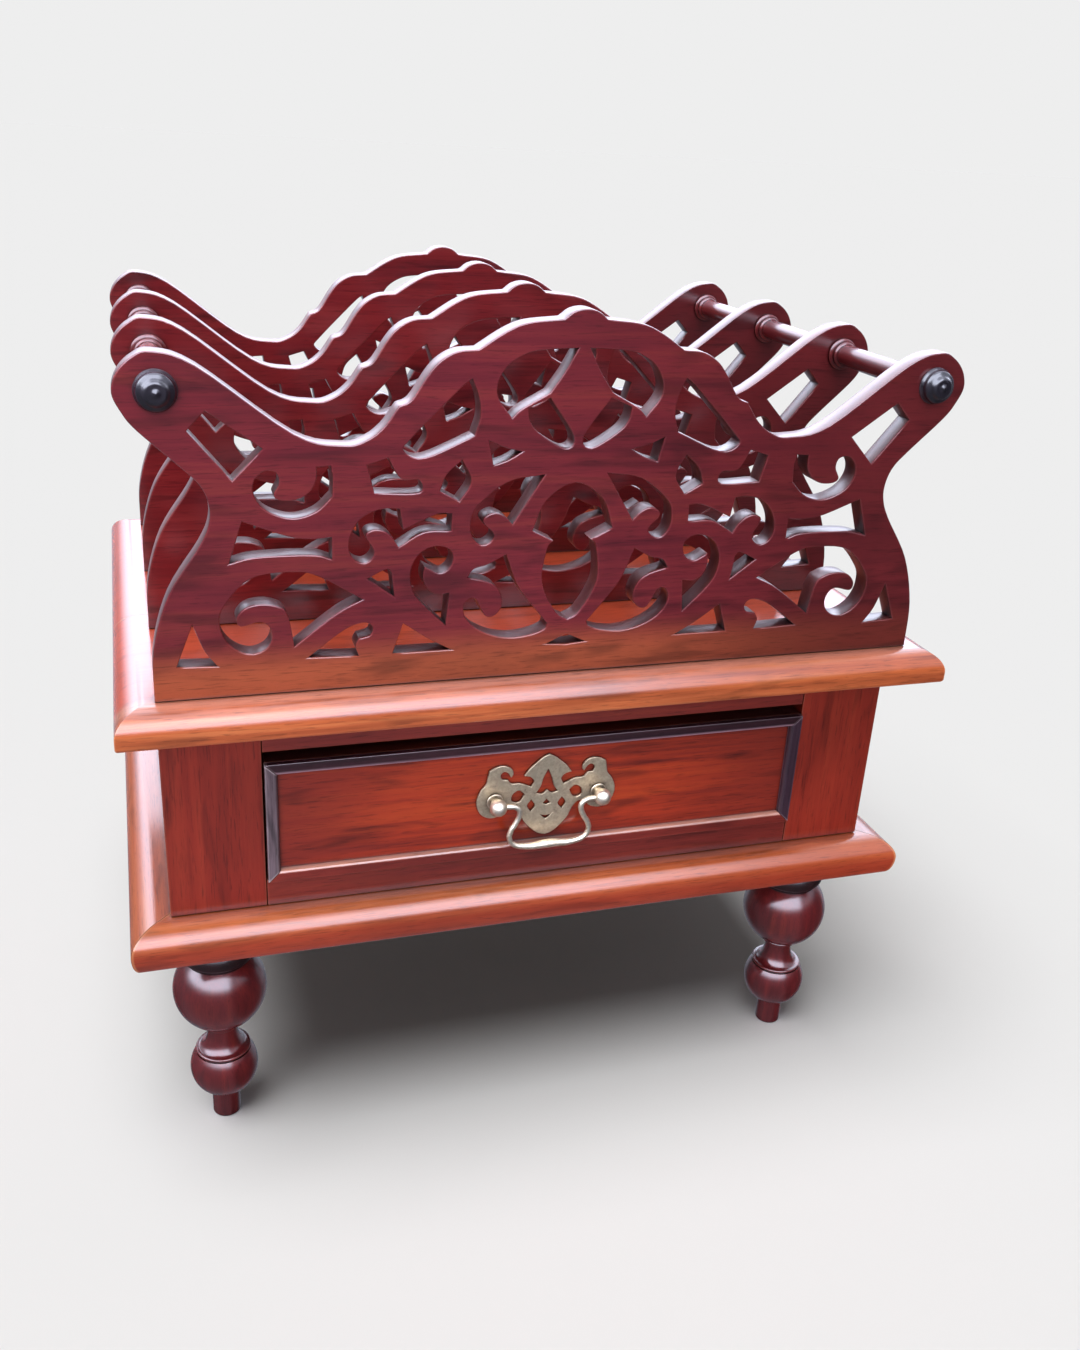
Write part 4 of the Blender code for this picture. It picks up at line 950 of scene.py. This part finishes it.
def mitred_strips(names, section, place, half_x, half_z, turn, materials, body):
    """Four mitred strips round a frame, from the one at its -Y side; the section is (inward, up) in mm."""
    for quarter, node in enumerate(names):
        along, across = (half_x, half_z) if quarter % 2 == 0 else (half_z, half_x)
        rings = []
        for side in (-1, 1):
            rings.append([(side * (along - (inward + SEAT_GAP) * MM), inward * MM - across, up * MM)
                          for inward, up in section])
        mesh = loft(rings)
        mesh.transform(Matrix.Translation(place) @ turn @ Matrix.Rotation(quarter * math.pi / 2, 4, "Z"))
        add_piece("moulded", node, mesh, materials[quarter], body)


plinth_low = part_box("plinth_front")[0]
plinth_section = (
    [(PLINTH_STRIP, 0), (PLINTH_DRIP_WIDTH, 0), (PLINTH_DRIP_WIDTH, -PLINTH_DRIP)]
    + arc((PLINTH_UNDER, PLINTH_NOSE), (PLINTH_UNDER, PLINTH_NOSE + PLINTH_DRIP), 270, UNDER_END_DEGREES)
    + arc((PLINTH_ROLL, PLINTH_NOSE), (PLINTH_ROLL, PLINTH_THICKNESS - PLINTH_NOSE), 180, 90)
    + [(PLINTH_STRIP, PLINTH_THICKNESS)])
mitred_strips([f"plinth_{side}" for side in ("front", "right", "back", "left")], plinth_section,
              (0, 0, plinth_low.z), -plinth_low.x, -plinth_low.y, Matrix.Identity(4),
              [plinth_wood["X"], plinth_wood["Y"]] * 2, "stand")
print("points of the plinth's section:", len(plinth_section))

# %% [markdown]
# ## Drawer beads
# A bead is glued round the drawer front and stands proud to guard its edges, square outside and rolling
# down to the front inside. One finish could do for all, but its lower side has a pale line of wear and
# painted highlight, the upper one is black with wax and painted shade, the right one is dark and the left
# one grey with dust and painted reflection. So the function that mitres the plinth makes it, stood up,
# with a finish for each side.

# %% Drawer beads
# Sizes of the section in millimetres
BEAD_WIDTH = 8.0
BEAD_PROUD = 4.0
BEAD_FLAT = 5.4
BEAD_EASE = 0.6
LOWER_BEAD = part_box("drawer_bead_bottom")[1].z
UPPER_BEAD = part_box("drawer_bead_top")[0].z
LEFT_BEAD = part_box("drawer_bead_left")[1].x
# Dark red, with a pale line along the roll: wear and a painted highlight
wear_and_painted_highlight_bead = mahogany("bead_mahogany_wear_and_painted_highlight", "X", ("#601a14", "#6e201a", "#7a2a20"), "#a06a50", wear=0.1,
                       fades=(("Z", LOWER_BEAD - 0.8 * MM, LOWER_BEAD - 2.6 * MM, "#c48c78"),))
# Nearly black with wax and painted shade, with a painted highlight as a grey line along its lower edge
wax_and_painted_light_bead = mahogany("bead_mahogany_wax_and_painted_light", "X", ("#1c0a12", "#2a1018", "#3a1a22"), "#a08890", wear=0.25,
                      fades=(("Z", UPPER_BEAD + 1.2 * MM, UPPER_BEAD + 3.4 * MM, "#98788a"),))
# Grey and patchy with dust and a painted reflection, with a black line where it meets the front
dust_and_reflection_bead = mahogany("dusty_bead_mahogany", "Z", ("#3c2e36", "#685863", "#8c7c87"), "#b0a2ac", wear=0.9,
                      smoke=0.6, fades=(("X", LEFT_BEAD - 0.6 * MM, LEFT_BEAD - 2.4 * MM, "#20131c"),))
# Dark all over, with paler edges
dark_right_bead = mahogany("dark_bead_mahogany", "Z", ("#1e101a", "#2c1a26", "#3c2a36"), "#8a7484", wear=0.6)

bead_section = ([(0.0, 0.0), (0.0, BEAD_PROUD - BEAD_EASE)]
                + [(BEAD_EASE - x, BEAD_PROUD - BEAD_EASE + y)
                   for x, y in arc((0, 0), (BEAD_EASE, BEAD_EASE), 0, 90)]
                + arc((BEAD_FLAT, 0), (BEAD_WIDTH - BEAD_FLAT, BEAD_PROUD), 90, 0))
bead_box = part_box("drawer_bead_bottom")
bead_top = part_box("drawer_bead_top")[1].z
bead_place = (0, bead_box[1].y, (bead_box[0].z + bead_top) / 2)
mitred_strips([f"drawer_bead_{side}" for side in ("bottom", "right", "top", "left")], bead_section,
              bead_place, bead_box[1].x + SEAT_GAP * MM, (bead_top - bead_box[0].z) / 2, STAND_UP,
              [wear_and_painted_highlight_bead, dark_right_bead, wax_and_painted_light_bead, dust_and_reflection_bead], "drawer")
print("points of the bead's section:", len(bead_section))

# %% [markdown]
# ## Polished boards
# Stiles, rails, case sides and the drawer front are plain boards, so their solids are right already. Only
# their edges are too crisp to be real. They could be made again, but a weld that joins the faces of the
# imported solid and a small bevel ease every arris, which then catches the light.

# %% Polished boards
BOARD_EASE = 0.8 * MM
EASE_SEGMENTS = 3
EASE_FROM_DEGREES = 50
DRAWER_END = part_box("drawer_front")[1].x
DRAWER_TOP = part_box("drawer_front")[1].z
# The drawer front darkens towards both ends, and its top edge is painted black as the shade in the gap
DRAWER_FADES = (("X", DRAWER_END, 50 * MM, "#6a1d14"), ("X", -DRAWER_END, -50 * MM, "#6a1d16"),
                ("Z", DRAWER_TOP - 0.5 * MM, DRAWER_TOP - 3 * MM, "#180a0c"))
# A warm red brown, plain and shiny, with upright grain in the stiles and lying grain in the rails
uprights = mahogany("brown_polished_mahogany", "Z", ("#6e1b10", "#7a1f12", "#852817"), "#a06a50")
rails = mahogany("brown_polished_mahogany", "X", ("#661c15", "#70221d", "#7e2c1f"), "#a06a50")
# A fiery red with strong dark smears, the best board of the piece
drawer_wood = mahogany("red_figured_mahogany", "X", ("#66180c", "#a02d0e", "#b64012"), "#c08468",
                       smoke=0.5, fades=DRAWER_FADES)


def dress(node, material, ease):
    """Give a CAD board a finish and eased arrises, and leave its own mesh as it is."""
    board = frame["nodes"][node]
    board.material_slots[0].material = material
    weld = board.modifiers.new("weld", "WELD")
    weld.merge_threshold = WELD
    bevel = board.modifiers.new("ease", "BEVEL")
    bevel.width = ease
    bevel.segments = EASE_SEGMENTS
    bevel.limit_method = "ANGLE"
    bevel.angle_limit = math.radians(EASE_FROM_DEGREES)
    bevel.harden_normals = True


polished_boards = {
    "front_stile_left": uprights, "front_stile_right": uprights, "top_rail": rails, "bottom_rail": rails,
    "case_side_left": uprights, "case_side_right": uprights, "case_back": rails,
    "drawer_front": drawer_wood}
for node, material in polished_boards.items():
    dress(node, material, BOARD_EASE)
print("polished boards:", len(polished_boards))

# %% [markdown]
# ## Deal boards
# The drawer's lining, the runners and the boards that nobody sees are deal, a plain pale softwood, planed
# and left bare. It could be mahogany in another colour, but it has no polish, pores or ribbon, only soft
# rings and fine fibres, so its finish is simpler. The base board, which faces the floor, is painted dark as
# the shade under the case.

# %% Deal boards
BARE_EASE = 0.5 * MM
DEAL_MARKS = {"ring": (600, 9, 3), "fibre": (60, 1.2, 3)}
RING_STOPS = (0.35, 0.48, 0.62)
FIBRE_SHADE = (0.3, 0.6, 0.8, 1.05)
FIBRE_RELIEF = 0.25
FIBRE_DEPTH = 0.3 * MM
PLANED_ROUGHNESS = 0.68
# Every corner darkens by as much as it is closed in: dust and painted shade
DUST_AND_PAINTED_SHADE = (0.0, 1.0, 0.0, 1.0)


def deal(name, grain, tones):
    """Bare planed softwood with its grain along an axis of the frame."""
    material, tree, here = new_finish(f"{name}_{grain}")
    marks = grain_marks(tree, here, grain, DEAL_MARKS, ragged=0.5, wander=0.8)
    timber = add_node(tree, "ValToRGB", inputs={"Fac": marks["ring"]}, stops=[
        (place, linear(tone)) for place, tone in zip(RING_STOPS, tones)])
    corner = add_node(tree, "AmbientOcclusion", {"samples": OCCLUSION_SAMPLES}, {"Distance": SHADE_REACH})
    colour = shaded(tree, timber.outputs["Color"], [
        (marks["fibre"], *FIBRE_SHADE), (corner.outputs["AO"], *DUST_AND_PAINTED_SHADE)])
    relief = add_node(tree, "Bump", inputs={
        "Strength": FIBRE_RELIEF, "Distance": FIBRE_DEPTH, "Height": marks["fibre"]})
    fill(tree, tree.nodes[SHADER], {
        "Base Color": colour, "Roughness": PLANED_ROUGHNESS, "Normal": relief.outputs["Normal"]})
    return material


# Straw coloured with clear rings, and no shine
bare_wood = {axis: deal("bare_planed_deal", axis, ("#9a6c3d", "#bd9059", "#cfa874")) for axis in "XY"}
# The same rings, painted dark as the shade under the case
painted_shade_deal = deal("sawn_deal_painted_shade", "X", ("#2c2019", "#3d2d23", "#4c3a2d"))
bare_boards = {"drawer_back": "X", "drawer_bottom": "X"}
for side in ("left", "right"):
    for word in ("drawer_runner", "drawer_guide", "drawer_kicker", "drawer_side"):
        bare_boards[f"{word}_{side}"] = "Y"
    bare_boards[f"drawer_stop_{side}"] = "X"
for node, axis in bare_boards.items():
    dress(node, bare_wood[axis], BARE_EASE)
dress("base_board", painted_shade_deal, BARE_EASE)
print("deal boards:", len(bare_boards) + 1)

# %% [markdown]
# ## Antique brass
# The handle is cast brass that was once lacquered. Handling keeps the bail and the balls pale, while the
# plate has dulled to a grey gold with brown tarnish in its corners and painted shade round the posts. One
# flat colour would look new, so noise and ambient occlusion lead from tarnish to clean metal. A metal's
# colour tints what it reflects, and the default IOR stays.

# %% Antique brass
TARNISH = "#3d3222"
TARNISH_PATCH = 6 * MM
# How far occlusion darkens the brass: tarnish in the plate's hollows, and painted shade round the posts
TARNISH_AND_SHADE_REACH = 7 * MM
# Where tarnish, dull metal and bright metal lie between a dark corner and a clean face
TARNISH_STOPS = (0.15, 0.36, 0.60)
# Range of the patches' noise, and how much rougher and smoother they make the metal
PATCH_RANGE = (0.3, 0.7)
TARNISH_ROUGHER = 0.12
RUBBED_SMOOTHER = 0.08
CASTING_GRIT = 0.7 * MM
GRIT_RELIEF = 0.06
GRIT_DEPTH = 0.15 * MM


def antique_brass(name, dull, bright, roughness):
    """Aged cast brass, from its tarnish to its rubbed colour."""
    material, tree, here = new_finish(name)
    patches = add_node(tree, "TexNoise", inputs={
        "Vector": here, "Scale": 1 / TARNISH_PATCH, "Detail": 5.0, "Roughness": 0.65}).outputs["Fac"]
    grit = add_node(tree, "TexNoise", inputs={"Vector": here, "Scale": 1 / CASTING_GRIT, "Detail": 2.0})
    corner = add_node(tree, "AmbientOcclusion", {"samples": OCCLUSION_SAMPLES}, {
        "Distance": TARNISH_AND_SHADE_REACH})
    clean = add_node(tree, "Math", PRODUCT, {0: patches, 1: corner.outputs["AO"]})
    metal = add_node(tree, "ValToRGB", inputs={"Fac": clean.outputs["Value"]}, stops=[
        (place, linear(tone)) for place, tone in zip(TARNISH_STOPS, (TARNISH, dull, bright))])
    rough = add_node(tree, "MapRange", inputs={
        "Value": patches, "From Min": PATCH_RANGE[0], "From Max": PATCH_RANGE[1],
        "To Min": roughness + TARNISH_ROUGHER, "To Max": roughness - RUBBED_SMOOTHER})
    relief = add_node(tree, "Bump", inputs={
        "Strength": GRIT_RELIEF, "Distance": GRIT_DEPTH, "Height": grit.outputs["Fac"]})
    fill(tree, tree.nodes[SHADER], {
        "Base Color": metal.outputs["Color"], "Metallic": 1.0, "Roughness": rough.outputs["Result"],
        "Normal": relief.outputs["Normal"]})
    return material


# Grey gold with soft, broad reflections
plate_brass = antique_brass("dull_antique_brass", "#a3927a", "#c4b498", 0.5)
# Pale and brighter, with highlights on every round
rubbed_brass = antique_brass("rubbed_antique_brass", "#beb098", "#e6dcc8", 0.42)
print("brass finishes:", plate_brass.name, rubbed_brass.name)

# %% [markdown]
# ## Back plate, posts and nuts
# A pierced plate is held by two posts that pass through the drawer front to nuts inside. The plate was
# cast and filed to its outline. A picture of the piercings would do from afar, but they have depth, so it
# is sawn from a drawing as the panels are. The posts are turned, and the nuts keep their solids.

# %% Back plate, posts and nuts
# Half of the plate in millimetres: out from the middle, and up from the posts' axis
PLATE_OUTLINE = [
    (0, -28.8, SHARP), (4.8, -27.2), (10, -23), (15, -16.8), (17.9, -10.5), (21.5, -6.4), (26, -6.4),
    (29.5, -10.4), (34.5, -12.4), (39.5, -12), (44, -8.8), (46.6, -3.2), (46.8, 2), (44.5, 8),
    (41, 12.6), (40.2, 16.5), (39.2, 21.8, SHARP), (33.8, 24.3), (28.6, 24.4), (24.5, 21.8),
    (23.2, 18.2), (24.6, 15.6, SHARP), (26.6, 18.9), (29.2, 20.2), (31.6, 18.3), (30.6, 15),
    (26.8, 14.4, SHARP), (24.4, 11.4), (18, 10.8), (11, 7.6, SHARP), (9.2, 11.4), (11.4, 14.6),
    (16, 15.9, SHARP), (12.8, 20.4), (8.8, 24.2), (4.2, 28), (0, 30.2, SHARP)]
PLATE_PIERCINGS = {
    "side": [(15.2, 2.6, SHARP), (18.5, 5.6), (22, 4.6), (24, 1), (22.8, -2.2), (18.2, -2.4)],
    "diamond": [(10.4, -1.8, SHARP), (13, -6), (10.6, -10.6, SHARP), (7.8, -6.4)],
}
PLATE_MIDDLE_PIERCINGS = {
    "arch": [(0, 19.4, SHARP), (2.9, 13), (4.6, 7), (7.4, 2.7, SHARP), (3.2, 1.8), (0, 4.4, SHARP)],
    "bud": [(0, -2.4, SHARP), (2.6, -5.4, SHARP), (0, -6.4, SHARP)],
    "grin": [(0, -14.6), (3.8, -13.6, SHARP), (0, -16.8)],
}
PLATE_ARRIS = 0.45 * MM
# The post's radii and heights in millimetres
POST_FLANGE = 5.5
POST_FLANGE_HEIGHT = 1.4
POST_NECK = 3.2
POST_BALL = 5.6
POST_STANDOFF = 9.0

swing = next(joint for joint in frame["joints"] if joint["name"] == "bail_swing")
bail_axis = Vector(swing["pos_m"])
plate_loops = whole_drawing(both_halves(PLATE_OUTLINE), PLATE_PIERCINGS, PLATE_MIDDLE_PIERCINGS)
plate_low, plate_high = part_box("pull_plate")
plate_spot = Vector((0, (plate_low.y + plate_high.y) / 2, bail_axis.z))
mesh = sawn(plate_loops, plate_high.y - plate_low.y, PLATE_ARRIS, plate_spot)
add_piece("sawn", "pull_plate", mesh, plate_brass, "drawer")

post_profile = ([(0, 0)]
                + ring(POST_FLANGE, 0, POST_FLANGE_HEIGHT, POST_FLANGE_HEIGHT / 2)
                + [(POST_NECK, POST_FLANGE_HEIGHT)]
                + ball(POST_BALL, POST_STANDOFF - SEAT_GAP, POST_NECK, 0))
for side in ("left", "right"):
    node = f"pull_post_{side}"
    spot = Vector((middle(node).x, plate_low.y - SEAT_GAP * MM, bail_axis.z))
    mesh = turned(post_profile, Matrix.Translation(spot) @ STAND_UP)
    add_piece("turned", node, mesh, rubbed_brass, "drawer")
    dress(f"pull_nut_{side}", plate_brass, BARE_EASE)
print("loops in the plate:", len(plate_loops))

# %% [markdown]
# ## Bail
# The bail hangs from the posts' balls and swings up. It was drawn out as a rod that is thin at its ends
# and swells towards the bar that the fingers hold. A pipe along the path would be even all over, so it is
# a curve with a radius at each point.

# %% Bail
# In mm: how far the bar hangs, where it starts in from the post, and the rod's thin and thick radius
BAIL_DROP = 30.2
BAIL_BAR_START = 17.0
BAIL_END = 1.75
BAIL_BAR = 2.9
BAIL_STEPS = 6
BAIL_ROUNDING = 6
# The bail's arm in mm: in from the post, and up from the axis
BAIL_ARM = [
    (1.0, 0), (6.8, 0), (11.2, -0.8), (14, -3.4), (14.2, -7.2), (12, -12.6), (9, -17.8),
    (8.1, -22.5), (10.2, -27.3)]

boring = middle("pull_post_right").x / MM
arm = [(boring - inward, up) for inward, up in BAIL_ARM] + [(boring - BAIL_BAR_START, -BAIL_DROP)]
wire_points = arm + [(0, -BAIL_DROP)] + mirrored(arm)
bar_end = boring - BAIL_ARM[-1][0]
wire = bpy.data.curves.new("bail_wire", "CURVE")
wire.dimensions = "3D"
wire.bevel_depth = MM
wire.bevel_resolution = BAIL_ROUNDING
wire.use_fill_caps = True
spline = wire.splines.new("BEZIER")
spline.bezier_points.add(len(wire_points) - 1)
spline.resolution_u = BAIL_STEPS
for knot, (x, z) in zip(spline.bezier_points, wire_points):
    swell = math.cos(math.pi / 2 * min(1, abs(x) / bar_end)) ** 2
    knot.co = bail_axis + Vector((x, 0, z)) * MM
    knot.handle_left_type = knot.handle_right_type = "AUTO"
    knot.radius = BAIL_END + (BAIL_BAR - BAIL_END) * swell
mesh = smooth_mesh(mesh_of(wire))
add_piece("drawn", "pull_bail", mesh, rubbed_brass, "bail")
print("bail faces:", len(mesh.polygons))
